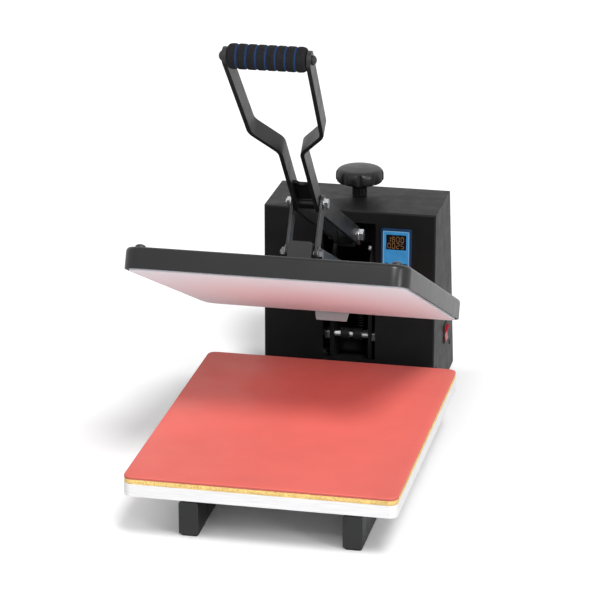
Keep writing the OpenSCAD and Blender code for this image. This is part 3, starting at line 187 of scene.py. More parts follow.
class Finish:
    """A Principled material whose constants sit on the shader's own sockets."""

    def __init__(self, name, base, metallic=0.0, roughness=0.5, **sockets):
        self.material = bpy.data.materials.new(name)
        self.material.use_nodes = True
        self.tree = self.material.node_tree
        self.shader = self.tree.nodes["Principled BSDF"]
        self.base = tuple(base)
        self.shader.inputs["Base Color"].default_value = (*self.base, 1)
        self.shader.inputs["Metallic"].default_value = metallic
        self.shader.inputs["Roughness"].default_value = roughness
        for socket, value in sockets.items():
            self.shader.inputs[socket].default_value = value
        self.place = self.tree.nodes.new("ShaderNodeTexCoord")

    def node(self, kind, **settings):
        """A new node with its settings."""
        made = self.tree.nodes.new(kind)
        for key, value in settings.items():
            setattr(made, key, value)
        return made

    def link(self, source, target):
        """Joins an output to an input."""
        self.tree.links.new(source, target)

    def coordinates(self, stretch=(1, 1, 1)):
        """Object coordinates, scaled per axis."""
        mapping = self.node("ShaderNodeMapping")
        mapping.inputs["Scale"].default_value = stretch
        self.link(self.place.outputs["Object"], mapping.inputs["Vector"])
        return mapping.outputs["Vector"]

    def noise(self, scale, detail=2.0, roughness=0.5, stretch=(1, 1, 1)):
        """Noise whose grains are about 1 / scale metres across."""
        made = self.node("ShaderNodeTexNoise")
        made.inputs["Scale"].default_value = scale
        made.inputs["Detail"].default_value = detail
        made.inputs["Roughness"].default_value = roughness
        self.link(self.coordinates(stretch), made.inputs["Vector"])
        return made.outputs["Fac"]

    def cells(self, scale):
        """Distance to the nearest of random points, 1 / scale metres apart."""
        made = self.node("ShaderNodeTexVoronoi")
        made.inputs["Scale"].default_value = scale
        self.link(self.coordinates(), made.inputs["Vector"])
        return made.outputs["Distance"]

    def spread(self, value, low, high, start=0.3, end=0.7):
        """Maps value from start..end to low..high."""
        made = self.node("ShaderNodeMapRange")
        made.inputs["From Min"].default_value = start
        made.inputs["From Max"].default_value = end
        made.inputs["To Min"].default_value = low
        made.inputs["To Max"].default_value = high
        self.link(value, made.inputs["Value"])
        return made.outputs["Result"]

    def mix(self, factor, first, second):
        """Colour between first and second, each a colour or a socket."""
        made = self.node("ShaderNodeMix", data_type="RGBA")
        for socket, value in ((made.inputs[6], first), (made.inputs[7], second)):
            if isinstance(value, bpy.types.NodeSocket):
                self.link(value, socket)
            else:
                socket.default_value = (*value, 1)
        self.link(factor, made.inputs[0])
        return made.outputs[2]

    def tint(self, factor, dark, light):
        """Colour that varies round the base by two factors."""
        return self.mix(factor, [c * dark for c in self.base], [min(c * light, 1) for c in self.base])

    def set(self, socket, value):
        """Joins an output to one of the shader's inputs."""
        self.link(value, self.shader.inputs[socket])

    def sum(self, operation, first, second):
        """One step of arithmetic on two values, each a number or a socket."""
        made = self.node("ShaderNodeMath", operation=operation)
        for socket, value in zip(made.inputs, (first, second)):
            if isinstance(value, bpy.types.NodeSocket):
                self.link(value, socket)
            else:
                socket.default_value = value
        return made.outputs[0]

    def away(self, axis, middle):
        """Distance from a plane across one axis of the object's coordinates."""
        axes = self.node("ShaderNodeSeparateXYZ")
        self.link(self.place.outputs["Object"], axes.inputs["Vector"])
        return self.sum("ABSOLUTE", self.sum("SUBTRACT", axes.outputs[axis], middle), 0)

    def bump(self, height, depth, strength=1.0):
        """Relief of the given depth in metres."""
        made = self.node("ShaderNodeBump")
        made.inputs["Strength"].default_value = strength
        made.inputs["Distance"].default_value = depth
        self.link(height, made.inputs["Height"])
        if self.shader.inputs["Normal"].is_linked:
            self.link(self.shader.inputs["Normal"].links[0].from_socket, made.inputs["Normal"])
        self.link(made.outputs["Normal"], self.shader.inputs["Normal"])


def painted(name, base, roughness, grain=900, depth=0.00004, uneven=0.05, **sockets):
    """Powder coat: fine orange peel, cloudy gloss and a slight drift of colour."""
    f = Finish(name, base, 0.0, roughness, **sockets)
    f.set("Base Color", f.tint(f.spread(f.noise(9, 3), 0, 1), 0.88, 1.12))
    f.set("Roughness", f.spread(f.noise(45, 3), roughness - uneven, roughness + uneven))
    f.bump(f.noise(grain, 2), depth, 0.6)
    return f.material


def plated(name, base, roughness, drift=0.14):
    """Zinc plating: metal with cloudy gloss and a faint crystal grain."""
    f = Finish(name, base, 1.0, roughness)
    f.set("Base Color", f.tint(f.spread(f.noise(160, 3), 0, 1), 1 - drift, 1 + drift))
    f.set("Roughness", f.spread(f.noise(240, 2), roughness - 0.08, roughness + 0.1))
    f.bump(f.noise(1500, 2), 0.00002, 0.5)
    return f.material


def brushed(name, base, roughness, stretch, metallic=1.0):
    """Brushed or ground metal: noise drawn out along one axis."""
    f = Finish(name, base, metallic, roughness)
    lines = f.noise(1.0, 4, 0.6, stretch)
    f.set("Base Color", f.tint(f.spread(lines, 0, 1), 0.9, 1.08))
    f.set("Roughness", f.spread(lines, roughness - 0.08, roughness + 0.1))
    f.bump(lines, 0.00002, 0.4)
    return f.material


def sleeved(name, base, start, end):
    """Ground rod along X, with dark plastic sleeves from start to end on both sides of its middle."""
    f = Finish(name, base, 1.0, 0.2, **{"Specular IOR Level": 0.1})
    dark = f.node("ShaderNodeMath", operation="COMPARE")
    f.link(f.away("X", 0), dark.inputs[0])
    dark.inputs[1].default_value = (start + end) / 2
    dark.inputs[2].default_value = (end - start) / 2 + 0.0001
    ground = f.tint(f.spread(f.noise(1.0, 4, 0.6, GROUND), 0, 1), 0.9, 1.08)
    f.set("Base Color", f.mix(dark.outputs[0], ground, (0.008, 0.008, 0.008)))
    f.set("Metallic", f.sum("SUBTRACT", 1, dark.outputs[0]))
    f.set("Roughness", f.spread(dark.outputs[0], 0.2, 0.5, 0, 1))
    return f.material


def moulded(name, base, roughness, grain=1400, depth=0.00005, **sockets):
    """Moulded plastic: a fine spark-eroded grain and a soft drift of gloss."""
    f = Finish(name, base, 0.0, roughness, **sockets)
    f.set("Base Color", f.tint(f.spread(f.noise(30, 2), 0, 1), 0.93, 1.07))
    f.set("Roughness", f.spread(f.noise(70, 2), roughness - 0.05, roughness + 0.05))
    f.bump(f.noise(grain, 1), depth, 0.5)
    return f.material


def silicone(name, base):
    """Silicone sheet: cloudy red with a fine speckle, painted shade that darkens its side below the top's
    rounding, and a low, uneven sheen.
    """
    f = Finish(name, base, 0.0, 0.55)
    cloud = f.tint(f.spread(f.noise(7, 4), 0, 1), 0.93, 1.06)
    speck = f.spread(f.noise(1300, 2), 0, 0.28, 0.52, 0.74)
    face = f.mix(speck, cloud, [min(c * 1.25, 1) for c in base])
    low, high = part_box("silicone_pad")
    thick = high.z - low.z
    # Painted shade: below the rounding of its top, the pad's side is darkened to 0.62 of the base colour
    cut = f.spread(f.away("Z", low.z), 1, 0, 0.65 * thick, 0.95 * thick)
    f.set("Base Color", f.mix(cut, face, [c * 0.62 for c in base]))
    f.set("Roughness", f.spread(f.noise(22, 4), 0.47, 0.62))
    f.bump(f.noise(900, 3), 0.00005, 0.6)
    f.bump(f.noise(30, 2), 0.00025, 0.25)
    return f.material


def sponge(name, base):
    """Open sponge: pores as dark cells in a pale yellow foam."""
    f = Finish(name, base, 0.0, 0.92)
    pores = f.spread(f.cells(430), 1, 0, 0.08, 0.5)
    body = f.tint(f.spread(f.noise(60, 3), 0, 1), 0.8, 1.1)
    f.set("Base Color", f.mix(pores, body, [base[0] * 0.55, base[1] * 0.42, base[2] * 0.3]))
    f.bump(f.cells(430), 0.0006, 0.7)
    f.bump(f.noise(180, 3), 0.0006, 0.5)
    return f.material


def foam(name, ring):
    """Closed foam of the grip: near black with a skin grain, and rings where the groove attribute says."""
    base = (0.009, 0.009, 0.0105)
    f = Finish(name, base, 0.0, 0.8)
    f.shader.inputs["Specular IOR Level"].default_value = 0.2
    groove = f.node("ShaderNodeAttribute", attribute_name="groove")
    body = f.tint(f.spread(f.noise(120, 3), 0, 1), 0.75, 1.35)
    f.set("Base Color", f.mix(groove.outputs["Fac"], body, ring))
    f.set("Roughness", f.spread(f.noise(300, 2), 0.7, 0.88))
    f.bump(f.cells(1500), 0.00012, 0.6)
    return f.material


def rubber(name, base):
    """Black rubber: matt with a dusty drift."""
    f = Finish(name, base, 0.0, 0.85)
    f.set("Base Color", f.tint(f.spread(f.noise(60, 4), 0, 1), 0.8, 1.5))
    f.bump(f.noise(700, 2), 0.0001, 0.6)
    return f.material


def heated(name, base):
    """Coated underside of the heating plate: near white and matt, with a faint drawn grain."""
    f = Finish(name, base, 0.0, 0.42, **{"Specular IOR Level": 0.015})
    lines = f.noise(1.0, 3, 0.5, (1200, 25, 1200))
    f.set("Base Color", f.tint(f.spread(lines, 0, 1), 0.97, 1.02))
    f.set("Roughness", f.spread(f.noise(18, 3), 0.36, 0.5))
    f.bump(lines, 0.00002, 0.3)
    return f.material


def board(name, base):
    """Pressed mineral board: fibres and flecks in a cream ground."""
    f = Finish(name, base, 0.0, 0.9)
    fibres = f.noise(1.0, 4, 0.65, (120, 420, 300))
    f.set("Base Color", f.tint(f.spread(fibres, 0, 1), 0.8, 1.1))
    f.bump(fibres, 0.0002, 0.6)
    return f.material


def film(name, base, line, line_w):
    """Printed film over the controller: satin, with a faint weave and a pale line along its edge."""
    f = Finish(name, base, 0.0, 0.38)
    low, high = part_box("controller_face")
    middle, half = (low + high) / 2, (high - low) / 2
    across = f.sum("SUBTRACT", f.away("X", middle.x), half.x - line_w)
    along = f.sum("SUBTRACT", f.away("Z", middle.z), half.z - line_w)
    edge = f.sum("GREATER_THAN", f.sum("MAXIMUM", across, along), 0)
    f.set("Base Color", f.mix(edge, f.tint(f.spread(f.noise(90, 2), 0, 1), 0.92, 1.1), line))
    f.set("Roughness", f.spread(f.noise(160, 2), 0.32, 0.46))
    f.bump(f.noise(2200, 1), 0.00003, 0.5)
    return f.material


def lit(name, base, strength):
    """Lit digits: a warm glow with slightly uneven brightness."""
    f = Finish(name, base, 0.0, 0.4)
    glow = f.tint(f.spread(f.noise(400, 2), 0, 1), 0.8, 1.2)
    f.set("Base Color", glow)
    f.set("Emission Color", glow)
    f.shader.inputs["Emission Strength"].default_value = strength
    return f.material


def smoked(name):
    """Dark window of the display, with faint wipe marks in its gloss."""
    f = Finish(name, (0.006, 0.005, 0.005), 0.0, 0.16)
    f.set("Base Color", f.tint(f.spread(f.noise(200, 2), 0, 1), 0.8, 1.3))
    f.set("Roughness", f.spread(f.noise(80, 3, 0.6, (1, 1, 3)), 0.1, 0.24))
    return f.material


def translucent(name, base):
    """Red rocker: clear plastic with a cloudy tint and a glossy skin."""
    f = Finish(name, base, 0.0, 0.34)
    f.shader.inputs["Transmission Weight"].default_value = 0.2
    f.shader.inputs["Coat Weight"].default_value = 0.1
    f.set("Base Color", f.tint(f.spread(f.noise(220, 2), 0, 1), 0.8, 1.25))
    f.bump(f.noise(900, 1), 0.00002, 0.4)
    return f.material


# Nodes that wear each finish
WEAR = {
    "coat_housing": ("housing_shell", "rear_panel"),
    "coat_cover": ("platen_cover",),
    "coat_bars": ("handle_bar_left", "handle_bar_right", "handle_web", "links", "pivot_spacer"),
    "coat_arm": ("platen_arm", "arm_mount_plate"),
    "coat_rails": ("base_rail_left", "base_rail_right", "front_cross_member", "rear_cross_member"),
    "coat_frame": ("frame_plate_left", "frame_plate_right", "screw_bridge", "pressure_carriage"),
    "coat_base": ("base_plate",),
    "zinc_bolts": (
        "table_bolts", "frame_bolts", "hinge_nuts", "spring_anchor", "carriage_bolt", "platen_studs",
        "tail_pin_bolt", "handle_bolt",
    ),
    "ground_shaft": ("hinge_shaft",),
    "sleeved_rod": ("frame_tie_rod",),
    "dark_screw": ("pressure_screw", "arm_bolt"),
    "oxide_screws": ("housing_screws", "panel_screws", "cover_screws", "grip_rod"),
    "milled_table": ("table_plate",),
    "coated_plate": ("heating_plate",),
    "brushed_bracket": ("rear_bracket",),
    "sintered_bush": ("hinge_bushes",),
    "cap_plastic": ("rail_end_caps",),
    "black_plastic": ("power_inlet", "heater_gland", "switch_bezel", "controller_case"),
    "knob_plastic": ("pressure_knob",),
    "foot_rubber": ("rubber_feet",),
    "mineral_board": ("insulation_board",),
    "relay_plastic": ("relay_module",),
    "terminal_plastic": ("terminal_block",),
    "rim_plastic": ("controller_bezel",),
    "face_film": ("controller_face",),
    "smoked_window": ("display_window",),
    "button_plastic": ("button_left", "button_middle", "button_right"),
    "red_rocker": ("switch_rocker",),
}


def make_materials():
    """All finishes of the press, by the names that the pieces use."""
    c = finishes()
    dull, low_sheen, satin = ({"Specular IOR Level": level} for level in (0.16, 0.25, 0.35))
    painted("coat_housing", c.housing_black, 0.45, grain=1100, depth=0.00006, **dull)
    painted("coat_cover", c.cover_charcoal, 0.3, depth=0.00003, uneven=0.02, **satin)
    painted("coat_bars", c.bar_black, 0.38, depth=0.00003)
    painted("coat_arm", c.bar_black, 0.42)
    painted("coat_rails", c.rail_black, 0.45, **low_sheen)
    painted("coat_frame", (0.008, 0.008, 0.0085), 0.5, **dull)
    painted("coat_base", (0.01, 0.01, 0.0105), 0.55, **dull)
    plated("zinc_bolts", c.zinc, 0.28)
    brushed("ground_shaft", (0.66, 0.67, 0.69), 0.2, GROUND)
    sleeved("sleeved_rod", (0.72, 0.73, 0.75), start=0.003, end=0.0165)
    plated("dark_screw", (0.16, 0.16, 0.17), 0.42, drift=0.2)
    painted("oxide_screws", (0.012, 0.012, 0.013), 0.36, grain=1200, depth=0.00003)
    brushed("milled_table", (0.88, 0.88, 0.89), 0.4, stretch=(30, 30, 1500), metallic=0.25)
    heated("coated_plate", c.plate_white)
    brushed("brushed_bracket", (0.36, 0.36, 0.37), 0.4, stretch=(20, 900, 900))
    plated("sintered_bush", (0.44, 0.26, 0.08), 0.45, drift=0.2)
    moulded("cap_plastic", (0.015, 0.0155, 0.016), 0.48)
    moulded("black_plastic", (0.01, 0.01, 0.01), 0.5)
    moulded("knob_plastic", (0.007, 0.007, 0.0075), 0.36, grain=1000, depth=0.00007, **satin)
    rubber("foot_rubber", (0.012, 0.012, 0.012))
    board("mineral_board", (0.56, 0.53, 0.45))
    moulded("relay_plastic", (0.6, 0.56, 0.47), 0.45)
    moulded("terminal_plastic", (0.72, 0.72, 0.69), 0.42)
    moulded("rim_plastic", c.rim_blue, 0.36)
    film("face_film", c.face_blue, c.line_blue, sizes().film_line)
    smoked("smoked_window")
    moulded("button_plastic", (0.008, 0.016, 0.04), 0.5)
    translucent("red_rocker", c.rocker_red)
    silicone("red_silicone", c.pad_red)
    sponge("yellow_sponge", c.sponge_yellow)
    foam("ribbed_foam", c.ring_blue)
    plated("drawn_spring", (0.06, 0.06, 0.062), 0.4, drift=0.2)
    lit("amber_digits", c.digit_amber, strength=0.22)


# Shapes


def slot_of(node):
    """Material slot of a node in the record."""
    return next(s["material_slot"] for s in frame["record"]["subparts"] if s["node"] == node)


def body_of(node):
    """Body that a node belongs to in the record."""
    return next(b for b, nodes in frame["record"]["behaviour"]["bodies"].items() if node in nodes)


def add_object(name, mesh, material, body, slot, *nodes):
    """Puts a finished mesh into the scene, on its body, in place of the nodes."""
    piece = bpy.data.objects.new(name, mesh)
    bpy.context.scene.collection.objects.link(piece)
    mesh.materials.clear()
    mesh.materials.append(bpy.data.materials[material])
    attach(piece, body)
    if nodes:
        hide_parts(*nodes)
    return piece


def mesh_from(name, points, faces, smooth=True):
    """Mesh of an array of points and a list of faces, its doubles merged and its normals outwards."""
    mesh = bpy.data.meshes.new(name)
    mesh.from_pydata(points.reshape(-1, 3).tolist(), [], faces)
    shape = bmesh.new()
    shape.from_mesh(mesh)
    bmesh.ops.remove_doubles(shape, verts=shape.verts, dist=SAME_POINT)
    bmesh.ops.recalc_face_normals(shape, faces=shape.faces)
    shape.to_mesh(mesh)
    shape.free()
    mesh.polygons.foreach_set("use_smooth", np.full(len(mesh.polygons), smooth))
    return mesh


def grid_faces(rows, columns, close_rows=False, close_columns=False):
    """Quads of a grid, row by row, with either direction closed to a loop."""
    i = np.arange(rows if close_rows else rows - 1)[:, None]
    j = np.arange(columns if close_columns else columns - 1)[None, :]
    up, right = (i + 1) % rows, (j + 1) % columns
    quads = np.stack(
        [i * columns + j, i * columns + right, up * columns + right, up * columns + j], axis=-1
    )
    return quads.reshape(-1, 4)


def capped_faces(rows, columns):
    """Quads of a grid whose rows are closed to rings, with a flat cap on the first and the last ring."""
    first, last = np.arange(columns)[::-1], (rows - 1) * columns + np.arange(columns)
    return grid_faces(rows, columns, False, True).tolist() + [first.tolist(), last.tolist()]


def rounded_outline(steps=10, along=24):
    """Outline of a rectangle with round corners, as an array of places and one of directions.

    A point is its place times the half sizes less the corner's radius, plus its direction times that radius.
    A corner keeps one place and turns its direction in steps. A straight moves its place from one corner to
    the next and keeps its direction.
    """
    signs = np.array([[1, 1], [-1, 1], [-1, -1], [1, -1]])
    turn = np.concatenate([np.linspace(0, math.pi / 2, steps), np.full(along, math.pi / 2)])
    share = np.concatenate([np.zeros(steps), np.linspace(0, 1, along + 2)[1:-1]])
    angle = turn[None, :] + np.arange(4)[:, None] * math.pi / 2
    to_next = np.roll(signs, -1, axis=0) - signs
    places = signs[:, None, :] + share[None, :, None] * to_next[:, None, :]
    directions = np.stack([np.cos(angle), np.sin(angle)], axis=-1)
    return places.reshape(-1, 2), directions.reshape(-1, 2)


def sheet_slab(name, low, high, radius, profile, wave=0.0):
    """Closed slab: rings of one rounded outline, each drawn in by the profile's inset at its height.

    profile lists (inset, height) from the bottom's middle round the edge to the top's middle.
    wave moves the side in and out by two sines along the outline, so that a cut edge isn't straight.
    """
    low, high = np.array(low), np.array(high)
    middle, half = (low + high)[:2] / 2, (high - low)[:2] / 2
    inset, height = profile.T
    least_corner = radius * 0.35
    corner = np.maximum(radius - inset, least_corner)
    places, directions = rounded_outline()
    count = len(places)
    straight = half - (inset + corner)[:, None]
    rings = places * straight[:, None, :] + corner[:, None, None] * directions
    along = np.linspace(0, 2 * math.pi, count, endpoint=False)
    up = height[:, None]
    drift = wave * (0.6 * np.sin(17 * along + 40 * up) + 0.4 * np.sin(41 * along + 900 * up))
    rings = rings * (1 - np.abs(drift)[..., None] / half[0]) + middle
    heights = np.broadcast_to(height[:, None, None], (len(height), count, 1))
    points = np.concatenate([rings, heights], axis=-1)
    return mesh_from(name, points, capped_faces(len(height), count))


def edge_profile(low_z, high_z, rounding, bulge=0.0, steps=5):
    """Profile of a slab: flat below, a quarter round, a swelling side, a quarter round, flat on top.

    The side swells by bulge as half a sine wave over its height.
    """
    a = np.linspace(0, math.pi / 2, steps)
    share = np.array(RINGS_BESIDE)
    below = [RINGS_BELOW, np.full(len(RINGS_BELOW), low_z)]
    lower = [bulge + rounding * (1 - np.sin(a)), low_z + rounding * (1 - np.cos(a))]
    side = [bulge * (1 - np.sin(math.pi * share)), low_z + rounding + share * (high_z - low_z - 2 * rounding)]
    upper = [bulge + rounding * (1 - np.cos(a)), high_z - rounding * (1 - np.sin(a))]
    above = [RINGS_ABOVE, np.full(len(RINGS_ABOVE), high_z)]
    return np.concatenate([np.column_stack(part) for part in (below, lower, side, upper, above)])


def revolve(profile, start, axis_point, sides):
    """Surface turned round the X axis through axis_point: a ring for each profile point (along, radius)."""
    turn = np.linspace(0, 2 * math.pi, sides, endpoint=False)
    along, radius = profile[:, 0][:, None], profile[:, 1][:, None]
    return np.stack([
        start + along + 0 * turn,
        axis_point[0] + radius * np.cos(turn),
        axis_point[1] + radius * np.sin(turn),
    ], axis=-1)


def tube(path, outward, radius, sides):
    """Round tube: a circle of points carried along a path.

    The circle starts on the side that outward names at each point, less its share along the path.
    """
    ahead = np.gradient(path, axis=0)
    ahead /= np.linalg.norm(ahead, axis=1)[:, None]
    side = outward - np.sum(outward * ahead, axis=1)[:, None] * ahead
    side /= np.linalg.norm(side, axis=1)[:, None]
    across = np.cross(ahead, side)
    turn = np.linspace(0, 2 * math.pi, sides, endpoint=False)
    return (
        path[:, None, :]
        + radius * np.cos(turn)[None, :, None] * side[:, None, :]
        + radius * np.sin(turn)[None, :, None] * across[:, None, :]
    )


def hex_head(across, height, sides=48):
    """Head of a bolt along -X: a hexagon's radius at each angle, kept in a cone that narrows to the top."""
    turn = np.linspace(0, 2 * math.pi, sides, endpoint=False)
    rise = height * np.array([0, 0.4, 0.7, 0.85, 1.0])
    sixth = math.pi / 3
    flat = across / 2 / np.cos((turn + sixth / 2) % sixth - sixth / 2)
    cone = across / 2 * 0.94 + 1.7 * (height - rise)
    radius = np.minimum(flat[None, :], cone[:, None])
    along = np.broadcast_to(-rise[:, None], radius.shape)
    points = np.stack([along, radius * np.sin(turn), radius * np.cos(turn)], axis=-1)
    return points, capped_faces(len(rise), sides)


def boxes(lows, highs):
    """Many boxes at once: eight corners each from arrays of lowest and highest points, and their faces."""
    pick = np.array([[0, 0, 0], [1, 0, 0], [1, 1, 0], [0, 1, 0], [0, 0, 1], [1, 0, 1], [1, 1, 1], [0, 1, 1]])
    points = lows[:, None, :] + pick[None] * (highs - lows)[:, None, :]
    quads = np.array([[3, 2, 1, 0], [4, 5, 6, 7], [0, 1, 5, 4], [1, 2, 6, 5], [2, 3, 7, 6], [3, 0, 4, 7]])
    faces = (8 * np.arange(len(lows)))[:, None, None] + quads[None]
    return points, faces.reshape(-1, 4).tolist()


def eased_copy(node, width):
    """Copy of a rigid solid with its flat faces joined and its sharp edges rounded by width."""
    mesh = frame["nodes"][node].data.copy()
    mesh.name = node + "_eased"
    shape = bmesh.new()
    shape.from_mesh(mesh)
    bmesh.ops.remove_doubles(shape, verts=shape.verts, dist=SAME_CORNER)
    bmesh.ops.dissolve_limit(
        shape, angle_limit=PLANE, use_dissolve_boundaries=False, verts=shape.verts, edges=shape.edges
    )
    shape.to_mesh(mesh)
    shape.free()
    mesh.polygons.foreach_set("use_smooth", np.full(len(mesh.polygons), True))
    mesh.set_sharp_from_angle(angle=SHARP)
    material = next(name for name, nodes in WEAR.items() if node in nodes)
    piece = add_object(node + "_eased", mesh, material, body_of(node), slot_of(node), node)
    bevel = piece.modifiers.new("Eased edges", "BEVEL")
    bevel.width = width
    bevel.segments = 2
    bevel.limit_method = "ANGLE"
    bevel.angle_limit = SHARP
    bevel.harden_normals = True
    return piece


# Operators


class PRESS_OT_finishes(bpy.types.Operator):
    """Makes the finishes and puts them on the solids"""

    bl_idname = "press.finishes"
    bl_label = "Finishes"

    def execute(self, context):
        make_materials()
        for material, nodes in WEAR.items():
            for node in nodes:
                slots = frame["nodes"][node].data.materials
                slots.clear()
                slots.append(bpy.data.materials[material])
        return {"FINISHED"}


class PRESS_OT_steelwork(bpy.types.Operator):
    """Rounds the edges of the handle, the links, the arm, the rails, the housing and the bolts"""

    bl_idname = "press.steelwork"
    bl_label = "Steelwork"

    def execute(self, context):
        s = sizes()
        groups = (
            (s.steel_ease, (
                "handle_bar_left", "handle_bar_right", "handle_web", "links", "platen_arm", "arm_mount_plate",
                "pressure_carriage", "base_rail_left", "base_rail_right",
                "front_cross_member", "rear_cross_member", "table_plate", "heating_plate",
                "frame_plate_left", "frame_plate_right",
            )),
            (s.cap_ease, ("rail_end_caps",)),
            (s.sheet_ease, (
                "housing_shell", "platen_cover", "controller_bezel", "controller_face", "rear_bracket",
                "switch_bezel", "switch_rocker", "pressure_knob",
            )),
            (s.bolt_ease, ("carriage_bolt", "arm_bolt", "handle_bolt", "frame_tie_rod", "cover_screws")),
        )
        for width, nodes in groups:
            for node in nodes:
                eased_copy(node, width)
        return {"FINISHED"}


class PRESS_OT_pad_layers(bpy.types.Operator):
    """Makes the silicone pad and the sponge under it"""

    bl_idname = "press.pad_layers"
    bl_label = "Pad and sponge"

    def execute(self, context):
        s = sizes()
        low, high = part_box("silicone_pad")
        profile = edge_profile(low.z, high.z, s.pad_round)
        mesh = sheet_slab("silicone_sheet", low, high, s.pad_corner, profile)
        slot = slot_of("silicone_pad")
        pad = add_object("silicone_sheet", mesh, "red_silicone", "frame", slot, "silicone_pad")
        low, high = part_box("sponge_layer")
        profile = edge_profile(low.z, high.z, s.sponge_round, s.sponge_bulge)
        mesh = sheet_slab("sponge_sheet", low, high, s.pad_corner, profile, s.sponge_wave)
        slot = slot_of("sponge_layer")
        layer = add_object("sponge_sheet", mesh, "yellow_sponge", "frame", slot, "sponge_layer")
        return {"FINISHED"}


class PRESS_OT_foam_grip(bpy.types.Operator):
    """Makes the ribbed foam sleeve of the handle"""

    bl_idname = "press.foam_grip"
    bl_label = "Foam grip"

    def execute(self, context):
        s = sizes()
        low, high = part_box("foam_grip")
        axis = ((low.y + high.y) / 2, (low.z + high.z) / 2)
        full, outer = high.x - low.x, (high.z - low.z) / 2
        sides, rib_steps, end_drop = 72, 24, 0.2
        # Radius along the grip: grooves as the sixth power of the distance from each rib's middle,
        # times a round at each end that takes end_drop off the radius
        t = np.linspace(0, 1, rib_steps * s.grip_ribs + 1)
        rib = t * s.grip_ribs
        in_rib = np.abs(2 * (rib % 1.0) - 1)
        groove = in_rib ** 6
        groove[(rib < 0.5) | (rib > s.grip_ribs - 0.5)] = 0
        end = np.clip(np.minimum(t, 1 - t) * full / s.grip_taper, 0, 1)
        radius = (outer - s.grip_groove * groove) * (1 - end_drop * (1 - np.sqrt(1 - (1 - end) ** 2)))
        skin = np.column_stack([t * full, radius])
        profile = np.concatenate([[[0, s.grip_bore]], skin, [[full, s.grip_bore]]])
        points = revolve(profile, low.x, axis, sides)
        faces = grid_faces(len(profile), sides, True, True).tolist()
        mesh = mesh_from("foam_sleeve", points, faces)
        # Coloured ring in each groove, with a soft edge, kept as an attribute for the foam's finish
        ring_start, ring_soft = 0.78, 0.08
        ring = np.clip((in_rib - ring_start) / ring_soft, 0, 1) * (groove > 0)
        place = np.empty(len(mesh.vertices) * 3, np.float32)
        mesh.vertices.foreach_get("co", place)
        values = np.interp(place[0::3] - low.x, t * full, ring)
        attribute = mesh.attributes.new("groove", "FLOAT", "POINT")
        attribute.data.foreach_set("value", values.astype(np.float32))
        mesh.set_sharp_from_angle(angle=math.radians(50))
        grip = add_object("foam_sleeve", mesh, "ribbed_foam", "handle", slot_of("foam_grip"), "foam_grip")
        return {"FINISHED"}


class PRESS_OT_lift_spring(bpy.types.Operator):
    """Makes the lift spring in one pose; on the real press it stretches as the platen closes"""

    bl_idname = "press.lift_spring"
    bl_label = "Lift spring"

    def execute(self, context):
        low_box, high_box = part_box("spring_anchor"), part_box("tail_pin_bolt")
        foot = np.array((low_box[0] + low_box[1]) / 2)
        head = np.array((high_box[0] + high_box[1]) / 2)
        full = np.linalg.norm(head - foot)
        s = sizes()
        hook, coil, lead, turns = s.hook_radius, s.coil_radius, s.spring_lead, s.spring_turns
        hook_turn, hook_steps, lead_steps, turn_steps, sides = 230, 40, 10, 32, 12
        # Middle line in the spring's own frame: part of a circle, a straight lead, a helix, and both mirrored
        a = np.radians(np.linspace(-hook_turn, 0, hook_steps))
        bend = np.column_stack([0 * a, hook * np.cos(a), hook * np.sin(a)])
        k = np.linspace(0, 1, lead_steps)[1:-1]
        run = np.column_stack([0 * k, hook + (coil - hook) * k, lead * k])
        t = np.linspace(0, turns, turn_steps * turns + 1)
        angle = 2 * math.pi * t
        climb = lead + (full - 2 * lead) * t / turns
        helix = np.column_stack([-coil * np.sin(angle), coil * np.cos(angle), climb])
        # Outward from the middle of each circle, and straight back along the leads
        lead_out = np.tile([0.0, 1.0, 0.0], (len(k), 1))
        helix_out = (helix - [0, 0, 1] * helix) / coil
        mirror = np.array([1, 1, -1])
        far = np.array([0, 0, full])
        path = np.concatenate([bend, run, helix, far + mirror * run[::-1], far + mirror * bend[::-1]])
        outward = np.concatenate([bend / hook, lead_out, helix_out, lead_out, mirror * bend[::-1] / hook])
        up = (head - foot) / full
        right = np.array([1.0, 0, 0])
        turned = np.array([right, np.cross(up, right), up])
        path = foot + path @ turned
        points = tube(path, outward @ turned, s.wire_radius, sides)
        mesh = mesh_from("spring_coil", points, capped_faces(len(path), sides))
        piece = bpy.data.objects.new("spring_coil", mesh)
        bpy.context.scene.collection.objects.link(piece)
        mesh.materials.append(bpy.data.materials["drawn_spring"])
        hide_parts("lift_spring")
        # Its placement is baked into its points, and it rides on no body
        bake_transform(piece)
        return {"FINISHED"}


class PRESS_OT_stop_bolt(bpy.types.Operator):
    """Makes the bright bolt head on the inside of the right frame plate"""

    bl_idname = "press.stop_bolt"
    bl_label = "Stop bolt"

    def execute(self, context):
        s = sizes()
        low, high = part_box("frame_plate_right")
        points, faces = hex_head(s.stop_across, s.stop_height + s.stop_seat)
        points = points + np.array([low.x + s.stop_seat, low.y + s.stop_back, high.z - s.stop_drop])
        mesh = mesh_from("stop_bolt_head", points, faces)
        mesh.set_sharp_from_angle(angle=math.radians(25))
        add_object("stop_bolt_head", mesh, "zinc_bolts", "frame", slot_of("frame_bolts"))
        return {"FINISHED"}


SEGMENTS = {
    # Lit bars of each digit: top, upper right, lower right, bottom, lower left, upper left, middle
    "0": "1111110", "1": "0110000", "2": "1101101", "5": "1011011", "8": "1111111",
}


